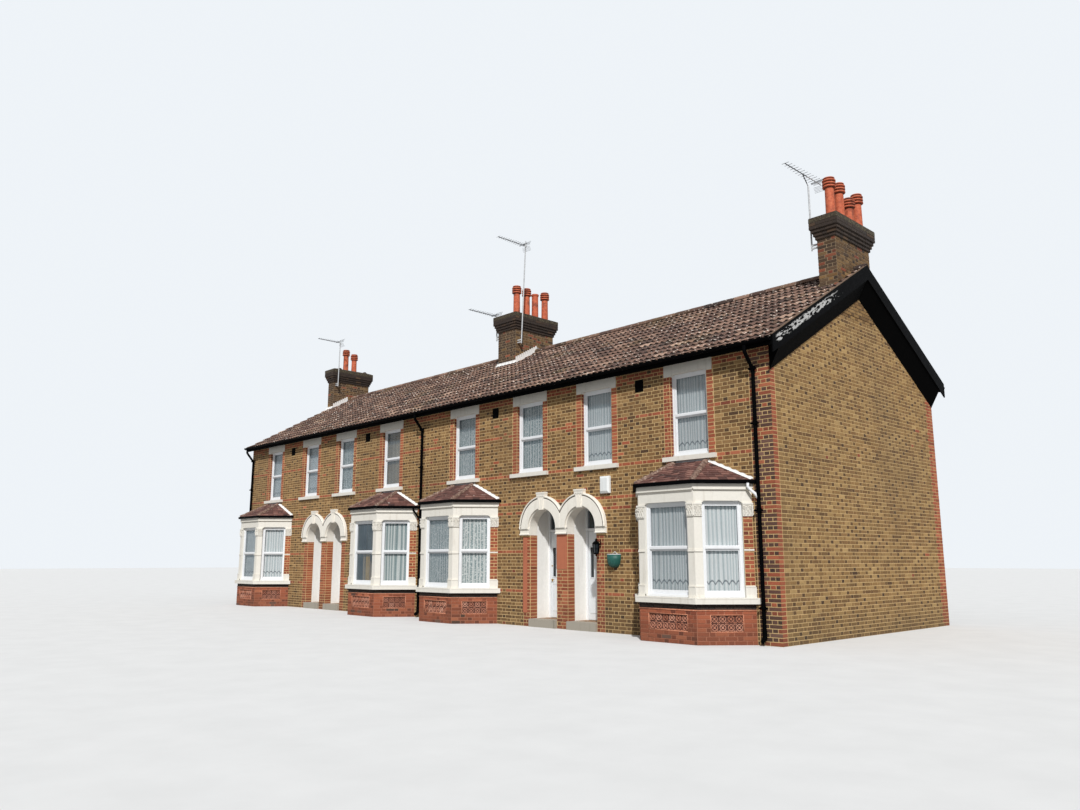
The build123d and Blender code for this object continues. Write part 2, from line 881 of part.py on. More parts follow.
def fanlights():
    inner = door_half_width - door_frame_bar
    middle = (frame_y0 + frame_y1) / 2
    return [block(x - inner, x + inner, middle - glass_thickness / 2, middle + glass_thickness / 2,
                  transom_bottom + transom_height, porch_ceiling - door_frame_bar) for x in door_centres]


def door_lights(house, y0, y1):
    """Two tall lights, one near each edge of a front door."""
    half = door_pane_width / 2
    middles = [door_centres[house] + side * door_pane_offset for side in (-1, 1)]
    return [block(x - half, x + half, y0, y1, door_pane_bottom, door_pane_top) for x in middles]


def front_door(house):
    x = door_centres[house]
    half = door_half_width - door_frame_bar - door_gap
    y0 = frame_y1 - door_leaf_thickness
    leaf = block(x - half, x + half, y0, frame_y1, floor_level + door_floor_gap, transom_bottom - door_gap)
    for light in door_lights(house, y0 - 1, frame_y1 + 1):
        leaf -= light
    for piece in knuckles(house, away(house), hinge_knuckle + hinge_play):
        leaf += piece
    return solids(leaf)


def front_door_glass(house):
    middle = frame_y1 - door_leaf_thickness / 2
    return solids(*door_lights(house, middle - glass_thickness / 2, middle + glass_thickness / 2))


def rear_doors():
    shapes = []
    for x in hall_windows:
        half = window_width / 2
        shapes.append(block(x - half, x + half, back_y - reveal - frame_depth, back_y - reveal,
                            0, floor_level + rear_door_height))
    return solids(*shapes)


def windows():
    """Frames and panes of every window."""
    frames, glass = bay_windows()
    all_frames = at_bays(*frames)
    all_glass = at_bays(*glass)
    frame, panes = window(window_width, window_height, window_height * 0.5)
    for x in upper_windows:
        for place in (Pos(x, face_y + reveal, upper_sill_top),
                      Pos(x, back_y - reveal - frame_depth, upper_sill_top)):
            all_frames.append(place * frame)
            all_glass += [place * pane for pane in panes]
    height = rear_window_height - lintel_height
    frame, panes = window(window_width, height, height * 0.5)
    for x in bay_centres:
        place = Pos(x, back_y - reveal - frame_depth, rear_window_sill_top)
        all_frames.append(place * frame)
        all_glass += [place * pane for pane in panes]
    return solids(*all_frames), solids(*all_glass, *fanlights())


# Small things on the front

vent_places = [(bay + hall) / 2 for bay, hall in zip(bay_centres, hall_windows)]


def air_vents():
    return solids(*[block(x - vent_width / 2, x + vent_width / 2, face_y - vent_proud, face_y,
                          vent_centre - vent_height / 2, vent_centre + vent_height / 2)
                    for x in vent_places])


alarm_x = pair_lines[0] + alarm_from_line
lantern_x = pair_lines[0] + lantern_from_line
basket_x = pair_lines[0] + basket_from_line


def alarm_box():
    half = alarm_width / 2
    return solids(block(alarm_x - half, alarm_x + half, face_y - alarm_depth, face_y,
                        alarm_bottom, alarm_bottom + alarm_height))


def porch_lantern():
    y = face_y - lantern_radius - lantern_gap
    half = lantern_arm / 2
    shape = Pos(lantern_x, y, lantern_centre) * Cylinder(lantern_radius, lantern_height)
    shape += block(lantern_x - half, lantern_x + half, y, face_y,
                   lantern_arm_level - half, lantern_arm_level + half)
    return solids(shape)


def wall_basket():
    """A half-round basket against the wall, open at the top."""
    middle = basket_top - basket_height / 2
    shape = Pos(basket_x, face_y, middle) * Cylinder(basket_radius, basket_height)
    hollow = Cylinder(basket_radius - basket_wall, basket_height)
    shape -= Pos(basket_x, face_y, middle + basket_wall) * hollow
    return solids(shape & block(basket_x - basket_radius, basket_x + basket_radius, face_y - basket_radius,
                                face_y, basket_top - basket_height, basket_top))


def build():
    window_frames, window_glass = windows()
    nodes = {
        "floors": floors(),
        "front_wall_piers": front_wall_piers(),
        "front_wall_upper": front_wall_upper(),
        "rear_wall_lower": rear_wall_lower(),
        "rear_wall_upper": rear_wall_upper(),
        "party_walls": party_walls(),
        "right_gable_wall": end_wall_at(1),
        "left_end_wall": end_wall_at(-1),
        "front_roof_slope": roof_slope(*eaves_edges[0]),
        "rear_roof_slope": roof_slope(*eaves_edges[1]),
        "ridge_tiles": ridge_tiles(),
        "eaves_boards": eaves_boards(),
        "bargeboards": bargeboards(),
        "verge_soffits": verge_soffits(),
        "gutters": gutters(),
        "downpipes": downpipes(),
        "chimney_stacks": solids(*[stack(x0, x1) for x0, x1 in stack_spans]),
        "chimney_pots": chimney_pots(),
        "aerials": aerials(),
        "window_lintels": solids(*front_lintels, *rear_lintels, *low_lintels),
        "window_sills": solids(*front_sills, *rear_sills, *low_sills),
        "window_frames": window_frames,
        "window_glass": window_glass,
        "bay_bases": solids(*at_bays(bay_base())),
        "bay_sills": solids(*at_bays(bay_band(bay_sill_proud, -bay_wall, bay_sill_bottom, bay_sill_top))),
        "bay_columns": solids(*at_bays(*both_sides(dressed(corner_post, bay_post_width)),
                                       *both_sides(dressed(wall_post, bay_stub_width)))),
        "bay_entablatures": solids(*at_bays(bay_entablature())),
        "bay_roofs": solids(*at_bays(bay_roof())),
        "door_arches": door_arches(),
        "doorsteps": doorsteps(),
        "porch_linings": porch_linings(),
        "door_frames": door_frames(),
        "rear_doors": rear_doors(),
        "air_vents": air_vents(),
        "alarm_box": alarm_box(),
        "porch_lantern": porch_lantern(),
        "wall_basket": wall_basket(),
    }
    for house in range(house_count):
        nodes["front_door_%d" % (house + 1)] = front_door(house)
        nodes["front_door_glass_%d" % (house + 1)] = front_door_glass(house)
    return nodes


os.makedirs("parts", exist_ok=True)
for name, shape in build().items():
    export_step(shape, "parts/%s.step" % name)
    print(name, len(shape.solids()), round(shape.volume / 1e9, 4))
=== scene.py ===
# %% [markdown]
# # A row of four brick houses
# The houses stand in two mirrored pairs. Each pair shares a double entrance under two round arches, and each
# house has a canted bay on the ground floor. Almost everything on such a row repeats: bricks, tiles, sashes,
# pots. So this lesson first makes a few small helpers, then uses them again and again, and every piece is
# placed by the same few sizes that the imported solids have.

# %% Load the solids
import bpy
import math
import random
from math import acos, atan2, cos, degrees, hypot, pi, radians, sin, sqrt, tan
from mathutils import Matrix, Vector


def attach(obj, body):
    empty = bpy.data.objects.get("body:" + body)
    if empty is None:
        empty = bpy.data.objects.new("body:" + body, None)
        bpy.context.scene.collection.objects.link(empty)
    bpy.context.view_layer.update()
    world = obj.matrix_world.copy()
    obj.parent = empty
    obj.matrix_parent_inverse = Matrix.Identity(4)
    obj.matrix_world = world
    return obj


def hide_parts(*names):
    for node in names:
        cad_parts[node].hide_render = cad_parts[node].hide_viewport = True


def set_out(name, data):
    """An object in the scene from a mesh, a lamp or a camera."""
    made = bpy.data.objects.new(name, data)
    bpy.context.scene.collection.objects.link(made)
    return made


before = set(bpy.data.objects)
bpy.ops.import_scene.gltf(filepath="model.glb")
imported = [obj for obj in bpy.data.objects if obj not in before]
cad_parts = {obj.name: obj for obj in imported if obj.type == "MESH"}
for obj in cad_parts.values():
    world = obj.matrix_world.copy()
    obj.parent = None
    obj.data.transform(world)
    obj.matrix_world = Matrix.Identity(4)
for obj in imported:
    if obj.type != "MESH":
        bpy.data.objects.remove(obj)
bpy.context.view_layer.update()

# %% [markdown]
# ## The camera
# The camera comes first, because every later choice is judged through it. Its place and turn were worked out
# from straight edges of the houses, so the render and the photograph line up. A lens of 28 mm takes in the
# whole row from its near corner.

# %% Camera
view_camera = bpy.data.cameras.new("near_corner_view")
view_camera.sensor_width = 36
view_camera.lens = 28.19
view_camera.clip_end = 600
camera_stand = set_out("near_corner_view", view_camera)
camera_stand.location = (18.852, -17.200, 1.496)
camera_stand.rotation_euler = (radians(100.38), 0, radians(46.53))
bpy.context.scene.camera = camera_stand
print("camera at", tuple(round(v, 2) for v in camera_stand.location))

# %% [markdown]
# ## Light and backdrop
# One sharp sun from the front right gives the bricks their relief, and a pale sky fills the shadows.
# The strengths are low enough that a colour renders about as it is written. The sky has two colours: what
# the camera and mirrors see is nearly white, and what lights the walls is dimmer.

# %% Light and sky
sun_lamp = bpy.data.lights.new("sun", "SUN")
sun_lamp.energy = 3.35
sun_lamp.angle = radians(2)
sun_stand = set_out("sun", sun_lamp)
sun_stand.rotation_euler = Vector((0.545, -0.545, 0.637)).to_track_quat("Z", "Y").to_euler()

sky = bpy.data.worlds.new("sky")
bpy.context.scene.world = sky
sky.use_nodes = True
sky_nodes, sky_links = sky.node_tree.nodes, sky.node_tree.links
sky_nodes.clear()
sky_out = sky_nodes.new("ShaderNodeOutputWorld")
sky_mix = sky_nodes.new("ShaderNodeMixShader")
sky_rays = sky_nodes.new("ShaderNodeLightPath")
sky_any = sky_nodes.new("ShaderNodeMath")
sky_any.operation = "MAXIMUM"
SKY_GLOWS = {1: ((0.93, 0.96, 1.0, 1), 0.40), 2: ((0.86, 0.90, 0.94, 1), 1.0)}
for place, (colour, strength) in SKY_GLOWS.items():
    glow = sky_nodes.new("ShaderNodeBackground")
    glow.inputs["Color"].default_value = colour
    glow.inputs["Strength"].default_value = strength
    sky_links.new(glow.outputs[0], sky_mix.inputs[place])
sky_links.new(sky_rays.outputs["Is Camera Ray"], sky_any.inputs[0])
sky_links.new(sky_rays.outputs["Is Glossy Ray"], sky_any.inputs[1])
sky_links.new(sky_any.outputs[0], sky_mix.inputs[0])
sky_links.new(sky_mix.outputs[0], sky_out.inputs[0])
bpy.context.scene.view_settings.view_transform = "Standard"
print("sun", sun_lamp.energy, "sky fill and sky seen", [strength for _, strength in SKY_GLOWS.values()])

# %% [markdown]
# ## Sizes
# All lengths are in metres and repeat the sizes of the solids. Naming them once keeps the bricks, the tiles
# and the joinery in step with the walls that carry them.

# %% Sizes
HOUSE = 5.27
FACE, BACK = -3.64, 3.64
DEPTH = BACK - FACE
ROW_END = 10.7035
VERGE = ROW_END + 0.25
COURSE, JOINT = 0.075, 0.014
FLOOR, WALL_HEAD = 0.175, 5.509
PITCH = radians(29.7)
RIDGE_Y, FRONT_RUN, REAR_RUN, ROOF_THICK = 0.16, 3.80, 3.48, 0.173
RIDGE = WALL_HEAD + ROOF_THICK + tan(PITCH) * FRONT_RUN
PAIR_LINES = [HOUSE, -HOUSE]
SIDES = [1, -1, 1, -1]
BAY_OFFSET, DOOR_OFFSET, HALL_OFFSET = 1.695, 0.607, 1.080
BAYS = [PAIR_LINES[h // 2] + SIDES[h] * (HOUSE - BAY_OFFSET) for h in range(4)]
DOORS = [PAIR_LINES[h // 2] + SIDES[h] * DOOR_OFFSET for h in range(4)]
HALLS = [PAIR_LINES[h // 2] + SIDES[h] * HALL_OFFSET for h in range(4)]
UPPER_WINDOWS = BAYS + HALLS
WINDOW_HALF, SILL_HALF, LINTEL_HALF = 0.450, 0.636, 0.593
SILL_HEIGHT, LINTEL_HEIGHT = 0.09, 0.24
FRAME_DEPTH = 0.090
SILL, HEAD = 3.525, 5.217
REAR_SILL, REAR_HEAD, REAR_DOOR_HEAD = 1.100, 2.360, 2.255
BAY_SILL, BAY_HEAD = 0.825, 2.566
BAY_HALF, BAY_FRONT_HALF, BAY_REACH = 1.360, 0.653, 0.830
BAY_EAVES, BAY_TOP, TOP_HALF = 2.947, 3.395, 0.388
POST, STUB = 0.150, 0.185
SPRING, IMPOST = 2.205, 2.060
DOOR_HALF, IMPOST_HALF, ARCH_HALF = 0.435, 1.355, 0.722
STACK_END, STACK_HALF = 0.430, 0.404
QUOIN = 0.17
print("ridge", round(RIDGE, 3), "bays", [round(x, 2) for x in BAYS])

# %% [markdown]
# ## A heap of small pieces
# Thousands of bricks would be slow as thousands of objects. A heap collects the corners and faces of many
# small pieces and turns them into one mesh. Each face also keeps a tone, a random number, and a kind, such
# as red or yellow brick. The materials read both, so one mesh shows many bricks.

# %% The heap


def grid_faces(rows, wide):
    """Four-cornered faces over rows of points, with wide points in each row."""
    return [(r * wide + c, r * wide + c + 1, (r + 1) * wide + c + 1, (r + 1) * wide + c)
            for r in range(rows - 1) for c in range(wide - 1)]


class Heap:
    """Corners and faces of many small pieces, with a tone and a kind for each face."""

    def __init__(self):
        self.corners, self.faces, self.tones, self.kinds = [], [], [], []

    def add(self, corners, faces, tone=0.5, kind=0.0):
        base = len(self.corners)
        self.corners.extend(corners)
        for face in faces:
            self.faces.append([base + i for i in face])
            self.tones.append(tone)
            self.kinds.append(kind)

    def box(self, stand, x, y, z, tone=0.5, kind=0.0, closed=True):
        """A block between three pairs of limits; its Y runs inward from a wall face."""
        (x0, x1), (y0, y1), (z0, z1) = sorted(x), sorted(y), sorted(z)
        corners = [stand(a, b, c) for b in (y0, y1) for a, c in ((x0, z0), (x1, z0), (x1, z1), (x0, z1))]
        faces = [(0, 1, 2, 3), (1, 5, 6, 2), (5, 4, 7, 6), (4, 0, 3, 7), (3, 2, 6, 7), (4, 5, 1, 0)]
        self.add(corners, faces if closed else [f for i, f in enumerate(faces) if i != 2], tone, kind)

    def turned(self, stand, profile, turns=24, tone=0.5, kind=0.0, share=1.0):
        """A round piece from its outline of (radius, height) pairs; share is the part of a full turn."""
        whole = share >= 1
        steps = turns if whole else turns + 1
        corners, faces = [], []
        for i in range(steps):
            angle = 2 * pi * share * i / turns
            corners += [stand(*round_at(r, angle), z) for r, z in profile]
        rings = len(profile)
        for i in range(turns):
            j = (i + 1) % steps
            for k in range(rings - 1):
                faces.append((i * rings + k, j * rings + k, j * rings + k + 1, i * rings + k + 1))
        self.add(corners, faces, tone, kind)

    def grid(self, points, tone=0.5, kind=0.0):
        """A sheet of faces over rows of points."""
        corners = [p for row in points for p in row]
        self.add(corners, grid_faces(len(points), len(points[0])), tone, kind)

    def rod(self, path, radius, sides=10, tone=0.5, kind=0.0):
        """A round bar along a list of points."""
        rings = []
        for i, point in enumerate(path):
            before, after = path[max(i - 1, 0)], path[min(i + 1, len(path) - 1)]
            along = (Vector(after) - Vector(before)).normalized()
            side = along.cross(Vector((0, 0, 1)))
            if side.length < 0.1:
                side = along.cross(Vector((0, 1, 0)))
            side.normalize()
            up = side.cross(along)
            rings.append([tuple(Vector(point) + radius * (cos(a) * side + sin(a) * up))
                          for a in (2 * pi * k / sides for k in range(sides))])
        self.loft(rings, tone, kind)

    def loft(self, loops, tone=0.5, kind=0.0):
        """A closed skin over a row of loops with equally many points."""
        count = len(loops[0])
        corners = [tuple(p) for loop in loops for p in loop]
        faces = [(r * count + k, r * count + (k + 1) % count, (r + 1) * count + (k + 1) % count,
                  (r + 1) * count + k) for r in range(len(loops) - 1) for k in range(count)]
        faces.append(tuple(range(count - 1, -1, -1)))
        faces.append(tuple(range(len(corners) - count, len(corners))))
        self.add(corners, faces, tone, kind)

    def piece(self, name, finish, slot, body="house_row", replaces=(), smooth=False, bevel=0.0):
        """The heap as one object that rides on a body."""
        mesh = bpy.data.meshes.new(name)
        mesh.from_pydata([tuple(c) for c in self.corners], [], self.faces)
        for label, values in (("tone", self.tones), ("kind", self.kinds)):
            mesh.attributes.new(label, "FLOAT", "FACE").data.foreach_set("value", values)
        if smooth:
            mesh.shade_smooth()
        made = set_out(name, mesh)
        mesh.materials.append(finish.material)
        if bevel:
            soften(made, bevel)
        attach(made, body)
        if replaces:
            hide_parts(*replaces)
        print(name, len(self.faces), "faces")
        return made


print("an empty heap has", len(Heap().faces), "faces")

# %% [markdown]
# ## Edges and stands
# Real edges are never quite sharp, so a small bevel rounds them. A wall piece is easiest to describe on the
# wall itself: along it, into it and up. A stand turns such places into places of the row.

# %% Edges and stands


def soften(obj, width):
    """A small rounding of the sharp edges, as real plaster, paint and wood have."""
    rounding = obj.modifiers.new("rounding", "BEVEL")
    rounding.width = width
    rounding.segments = 2
    rounding.limit_method = "ANGLE"
    rounding.angle_limit = radians(40)


def stand_at(x, y, z=0.0, turn=0.0):
    """Local places to row places: local X runs along a wall face, Y runs into the wall."""
    c, s = cos(turn), sin(turn)
    return lambda a, b, h: (x + a * c - b * s, y + a * s + b * c, z + h)


def round_at(reach, angle):
    """A point of a circle round zero."""
    return reach * cos(angle), reach * sin(angle)


def half_turn(steps):
    """Even angles over half a circle, both ends included."""
    return [pi * k / steps for k in range(steps + 1)]


print("a stand at 2 m puts 1 m along at", stand_at(2, 0)(1, 0, 0))

# %% [markdown]
# ## Finishes
# Every finish is a small tree of nodes round a Principled shader: noise at two or three scales for colour,
# the same noise for roughness, and a bump for grain. A little class keeps those trees short to write.

# %% Finish maker


def srgb(r, g, b):
    """A colour as a paint chart gives it, from 0 to 255, in the linear numbers that shaders want."""
    out = []
    for v in (r, g, b):
        v /= 255
        out.append(v / 12.92 if v <= 0.04045 else ((v + 0.055) / 1.055) ** 2.4)
    return (*out, 1)


class Finish:
    """A material with its nodes wired one by one."""

    def __init__(self, name, roughness=0.8):
        self.material = bpy.data.materials.new(name)
        self.material.use_nodes = True
        self.tree = self.material.node_tree
        self.shader = self.tree.nodes["Principled BSDF"]
        self.feed(self.shader, "Roughness", roughness)
        self.place = self.node("TexCoord").outputs["Object"]

    def feed(self, node, key, value):
        """A plain value is set on a socket, and an output of another node is wired to it."""
        if isinstance(value, (int, float, tuple)):
            node.inputs[key].default_value = value
        else:
            self.tree.links.new(value, node.inputs[key])

    def node(self, kind, feeds=None, **settings):
        made = self.tree.nodes.new("ShaderNode" + kind)
        for key, value in settings.items():
            setattr(made, key, value)
        for key, value in (feeds or {}).items():
            self.feed(made, key, value)
        return made

    def stretched(self, x, y, z):
        """The place, scaled along each axis, so that a grain can run one way."""
        return self.node("Mapping", {"Scale": (x, y, z), "Vector": self.place}).outputs["Vector"]

    def noise(self, scale, detail=4.0, vector=None):
        grain = {"Scale": scale, "Detail": detail, "Roughness": 0.55, "Vector": vector or self.place}
        return self.node("TexNoise", grain).outputs["Fac"]

    def mark(self, name):
        """A tone or a kind that the mesh carries."""
        return self.node("Attribute", attribute_name=name).outputs["Fac"]

    def axis(self, name):
        return self.node("SeparateXYZ", {0: self.place}).outputs[name]

    def ramp(self, value, *stops):
        """Colours along a value; each stop is (place, colour)."""
        made = self.node("ValToRGB", {0: value})
        bar = made.color_ramp
        while len(bar.elements) < len(stops):
            bar.elements.new(0.5)
        for element, (place, colour) in zip(bar.elements, stops):
            element.position = place
            element.color = colour
        return made.outputs["Color"]

    def band(self, value, low, high):
        """0 below low, 1 above high, smooth between."""
        limits = {"From Min": low, "From Max": high, "Value": value}
        return self.node("MapRange", limits, interpolation_type="SMOOTHSTEP").outputs["Result"]

    def spread(self, value, low, high):
        """A value from 0 to 1 spread between two others."""
        return self.node("MapRange", {"To Min": low, "To Max": high, "Value": value}).outputs["Result"]

    def maths(self, operation, a, b):
        return self.node("Math", {0: a, 1: b}, operation=operation).outputs[0]

    def mix(self, share, a, b):
        return self.node("Mix", {0: share, 6: a, 7: b}, data_type="RGBA").outputs[2]

    def product(self, a, b):
        return self.maths("MULTIPLY", a, b)

    def stain(self, base, colour, mask, share):
        """A share of another colour wherever the mask is 1."""
        return self.mix(self.product(mask, share), base, colour)

    def colour(self, output):
        self.feed(self.shader, "Base Color", output)
        return self

    def rough(self, value, low, high):
        self.feed(self.shader, "Roughness", self.spread(value, low, high))
        return self

    def bump(self, height, distance, strength=1.0):
        relief = {"Distance": distance, "Strength": strength, "Height": height}
        self.feed(self.shader, "Normal", self.node("Bump", relief).outputs["Normal"])
        return self


print("white stays", srgb(255, 255, 255)[0])

# %% [markdown]
# ## Dirt and coats
# Dirt lies in soft patches much larger than the grain. A coat covers a whole solid with one finish and
# leaves its shape alone.

# %% Dirt and coats


def wear(finish, base, dirt, scale=0.7, share=0.5):
    """Soft large patches of dirt over a colour."""
    return finish.stain(base, dirt, finish.band(finish.noise(scale, 6), 0.42, 0.75), share)


def coat_solid(name, finish):
    """One finish over a whole solid."""
    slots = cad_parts[name].data.materials
    slots.clear()
    slots.append(finish.material)


print("mid grey in linear numbers", round(srgb(128, 128, 128)[0], 3))

# %% [markdown]
# ## Brick and mortar
# The row is built of yellow stock brick, burnt brown in places, with red brick beside the windows and in
# thin bands. A brick texture alone stays flat when light grazes a wall. Here each brick is its own block, a
# few millimetres proud of its mortar, so the wall that CAD made is the mortar. The material only has to
# choose a clay by kind, shade it by tone, and add grit.

# %% Brick and mortar finishes
brick = Finish("brick", 0.9)
clays = [
    (srgb(66, 44, 24), srgb(128, 94, 54), srgb(172, 136, 88)),
    (srgb(112, 52, 34), srgb(160, 82, 54), srgb(190, 112, 78)),
    (srgb(50, 30, 26), srgb(92, 60, 50), srgb(136, 100, 86)),
    (srgb(42, 28, 20), srgb(82, 60, 42), srgb(126, 98, 70)),
    (srgb(84, 58, 30), srgb(146, 112, 66), srgb(184, 150, 98)),
    # The sixth clay is near-black: soot on the stack corbels, and painted shadow under the bay sills.
    (srgb(20, 14, 13), srgb(38, 28, 25), srgb(70, 54, 44)),
]
kind, tone = brick.mark("kind"), brick.mark("tone")
fired = None
for number, (dark, middle, light) in enumerate(clays):
    clay = brick.ramp(tone, (0.0, dark), (0.5, middle), (1.0, light))
    if fired is None:
        fired = clay
    else:
        fired = brick.mix(brick.band(kind, number - 0.6, number - 0.4), fired, clay)
grit = brick.noise(95, 5)
smear = brick.noise(9, 5)
fired = brick.stain(fired, srgb(70, 50, 34), brick.band(smear, 0.5, 0.75), 0.35)
fired = brick.stain(fired, srgb(205, 180, 140), brick.band(grit, 0.55, 0.8), 0.35)
fired = wear(brick, fired, srgb(74, 58, 42), 0.45, 0.35)
damp = brick.band(brick.axis("Z"), 0.9, 0.0)
fired = brick.stain(fired, srgb(66, 58, 42), damp, 0.35)
smoke = brick.band(brick.axis("Z"), 6.9, 8.3)
fired = brick.stain(fired, srgb(40, 29, 22), smoke, 0.42)
brick.colour(fired).rough(grit, 0.82, 0.97).bump(grit, 0.004, 0.6)


def mortar_finish(name, light, dark, painted_shade_above=99.0):
    made = Finish(name, 0.95)
    sand = made.noise(160, 4)
    body = made.ramp(sand, (0.3, dark), (0.7, light))
    body = wear(made, body, srgb(96, 80, 60), 0.5, 0.3)
    # Above the given height the mortar turns near-black: painted shadow, used under the bay sills.
    body = made.mix(made.band(made.axis("Z"), painted_shade_above, painted_shade_above + 0.01), body, srgb(40, 28, 24))
    return made.colour(body).rough(sand, 0.88, 1.0).bump(sand, 0.003, 0.5)


front_mortar = mortar_finish("sandy_mortar", srgb(230, 198, 144), srgb(194, 161, 110))
# The red base mortar is painted near-black above 0.612 m as the shadow under the sill.
red_mortar = mortar_finish("red_base_mortar", srgb(188, 126, 98), srgb(136, 84, 64), 0.612)
stack_mortar = mortar_finish("stack_mortar", srgb(190, 166, 134), srgb(132, 110, 84))
# A near-black mortar: soot and painted shade in the joints of the stack corbels, and painted shade in the
# arch grooves.
soot_and_shade_mortar = mortar_finish("soot_and_shade_joint_mortar", srgb(74, 60, 48), srgb(36, 28, 23))
print("clays:", len(clays))

# %% [markdown]
# ## Laying bricks
# The bond is Flemish: a long face, a short face, and so on, with every other course moved by half a step so
# that each short face sits over the middle of a long one. A wall is described by the free stretches in each
# course, so openings, arches and slopes only shorten those stretches. Pieces that would come out too short
# are joined to their neighbour, as a bricklayer would cut a closer.

# %% The bricklayer
dice = random.Random(1907)


def tone_near(mean, spread):
    """A random tone round a mean, kept between 0 and 1."""
    return min(1, max(0, dice.gauss(mean, spread)))


STRETCHER, HEADER = 0.211, 0.0985
PERIOD = STRETCHER + HEADER + 2 * JOINT


def bond(low, high, odd):
    """The bricks of one course between two limits, cut at the ends."""
    shift = PERIOD / 2 if odd else 0.0
    start = math.floor((low - shift) / PERIOD) * PERIOD + shift
    found = []
    while start < high:
        for length in (STRETCHER, HEADER):
            a, b = max(start, low), min(start + length, high)
            if b - a > 0.012:
                found.append([a, b])
            start += length + JOINT
    if len(found) > 1 and found[0][1] - found[0][0] < 0.045:
        found[1][0] = found[0][0]
        found.pop(0)
    if len(found) > 1 and found[-1][1] - found[-1][0] < 0.045:
        found[-2][1] = found[-1][1]
        found.pop()
    return found


def cut(spans, low, high):
    """The stretches that are left when one part is taken out."""
    left = []
    for a, b in spans:
        if high <= a or low >= b:
            left.append((a, b))
            continue
        if low - a > 0.02:
            left.append((a, low))
        if b - high > 0.02:
            left.append((high, b))
    return left


def lay(heap, stand, bottom, top, spans_at, kind_at, proud=0.004):
    """Fills a wall face with bricks, course by course."""
    for course in range(int(bottom / COURSE), int(math.ceil(top / COURSE))):
        low = max(course * COURSE + JOINT / 2, bottom)
        high = min((course + 1) * COURSE - JOINT / 2, top)
        if high - low < 0.015:
            continue
        for a, b in spans_at((low + high) / 2):
            for u0, u1 in bond(a + JOINT / 2, b - JOINT / 2, course % 2):
                out = proud + dice.uniform(-0.0015, 0.0015)
                slack = [dice.uniform(0, 0.0012) for _ in range(4)]
                header = u1 - u0 < 0.12
                shade = min(1.0, max(0.0, dice.gauss(0.56, 0.17) - (0.30 if header else 0)))
                heap.box(stand, (u0 + slack[0], u1 - slack[1]), (-out, 0.002),
                         (low + slack[2], high - slack[3]), shade, kind_at((u0 + u1) / 2, course), False)


print("a long and a short brick take", round(PERIOD, 4), "m")

# %% [markdown]
# ## The front wall
# The free stretches of a course depend on its height: bays, doors and imposts low down, the arches above
# them, then the slopes of the bay roofs, and last the windows with their sills and lintels. The red bricks
# beside the openings are laid as stretches of their own, which gives them a straight edge, and the same red
# bricks turn into the reveals of the windows and doors.

# %% Openings of the front
RED_COURSES = {10, 22, 34, 37, 46, 59, 70, 71}
WINDOW_JAMB, DOOR_JAMB, CORNER = 0.165, 0.228, 0.445
VENTS = [(a + b) / 2 for a, b in zip(BAYS, HALLS)]
VENT_LOW, VENT_HIGH = 4.9805, 5.2355
BAY_ROOF_HALF = 1.409


def bay_roof_reach(z):
    """Half the width that a bay roof covers on the wall at a height."""
    share = min(1.0, max(0.0, (z - BAY_EAVES) / (BAY_TOP - BAY_EAVES)))
    return BAY_ROOF_HALF + (TOP_HALF - BAY_ROOF_HALF) * share


def window_reach(z, sill, head):
    """Half the width that a window, its sill or its lintel takes out of a course, or 0."""
    if sill < z < head:
        return WINDOW_HALF
    if sill - SILL_HEIGHT < z <= sill:
        return SILL_HALF
    if head <= z < head + LINTEL_HEIGHT:
        return LINTEL_HALF
    return 0.0


def front_openings(z):
    """Taken-out parts of a front course, and the red stretches beside them."""
    gaps, red = [], []
    for x in BAYS:
        if z < BAY_EAVES:
            gaps.append((x - BAY_HALF, x + BAY_HALF))
        elif z < BAY_TOP:
            reach = bay_roof_reach(z) - 0.03
            gaps.append((x - reach, x + reach))
    for line in PAIR_LINES:
        if IMPOST < z < SPRING:
            gaps.append((line - IMPOST_HALF, line + IMPOST_HALF))
    for x, side in zip(DOORS, SIDES):
        if z < IMPOST:
            gaps.append((x - DOOR_HALF, x + DOOR_HALF))
            outer = x + side * DOOR_HALF
            red.append(tuple(sorted((outer, outer + side * DOOR_JAMB))))
        elif z < SPRING + ARCH_HALF - 0.002:
            reach = sqrt(max(0.0, ARCH_HALF ** 2 - (z - SPRING) ** 2))
            gaps.append((x - reach, x + reach))
    half = window_reach(z, SILL, HEAD)
    for x in UPPER_WINDOWS:
        if half:
            gaps.append((x - half, x + half))
        if SILL < z < HEAD:
            red += [(x - half - WINDOW_JAMB, x - half), (x + half, x + half + WINDOW_JAMB)]
    for x in VENTS:
        if VENT_LOW < z < VENT_HIGH:
            gaps.append((x - 0.11, x + 0.11))
    return gaps, red


print("openings at 1 m:", len(front_openings(1.0)[0]))

# %% [markdown]
# ## Laying the front
# What the openings leave of a course is laid with yellow stocks. Near the gable end the bricks turn to red
# and burnt ones, more red the higher they are, and a few thin bands of red run along the whole row.

# %% Front wall bricks


def front_spans(z):
    gaps, red = front_openings(z)
    spans = [(-ROW_END, ROW_END - CORNER), (ROW_END - CORNER, ROW_END + JOINT / 2 + 0.004)]
    for low, high in gaps:
        spans = cut(spans, low, high)
    for low, high in red:
        spans = cut(spans, low, high)
    return spans + red


def front_kind(x, course):
    z = (course + 0.5) * COURSE
    for low, high in front_openings(z)[1]:
        if low < x < high:
            return 1.0
    if any(abs(x - line) < 0.18 for line in PAIR_LINES) and z < IMPOST:
        return 1.0
    if x > ROW_END - CORNER:
        share = min(1.0, max(0.0, (z - 3.9) / 1.2))
        share = max(share, 0.4 if x > ROW_END - QUOIN else 0.0)
        return 1.0 if dice.random() < 0.08 + 0.62 * share else 2.0
    if course in RED_COURSES and dice.random() < 0.9:
        return 1.0
    return 1.0 if dice.random() < 0.015 else 0.0


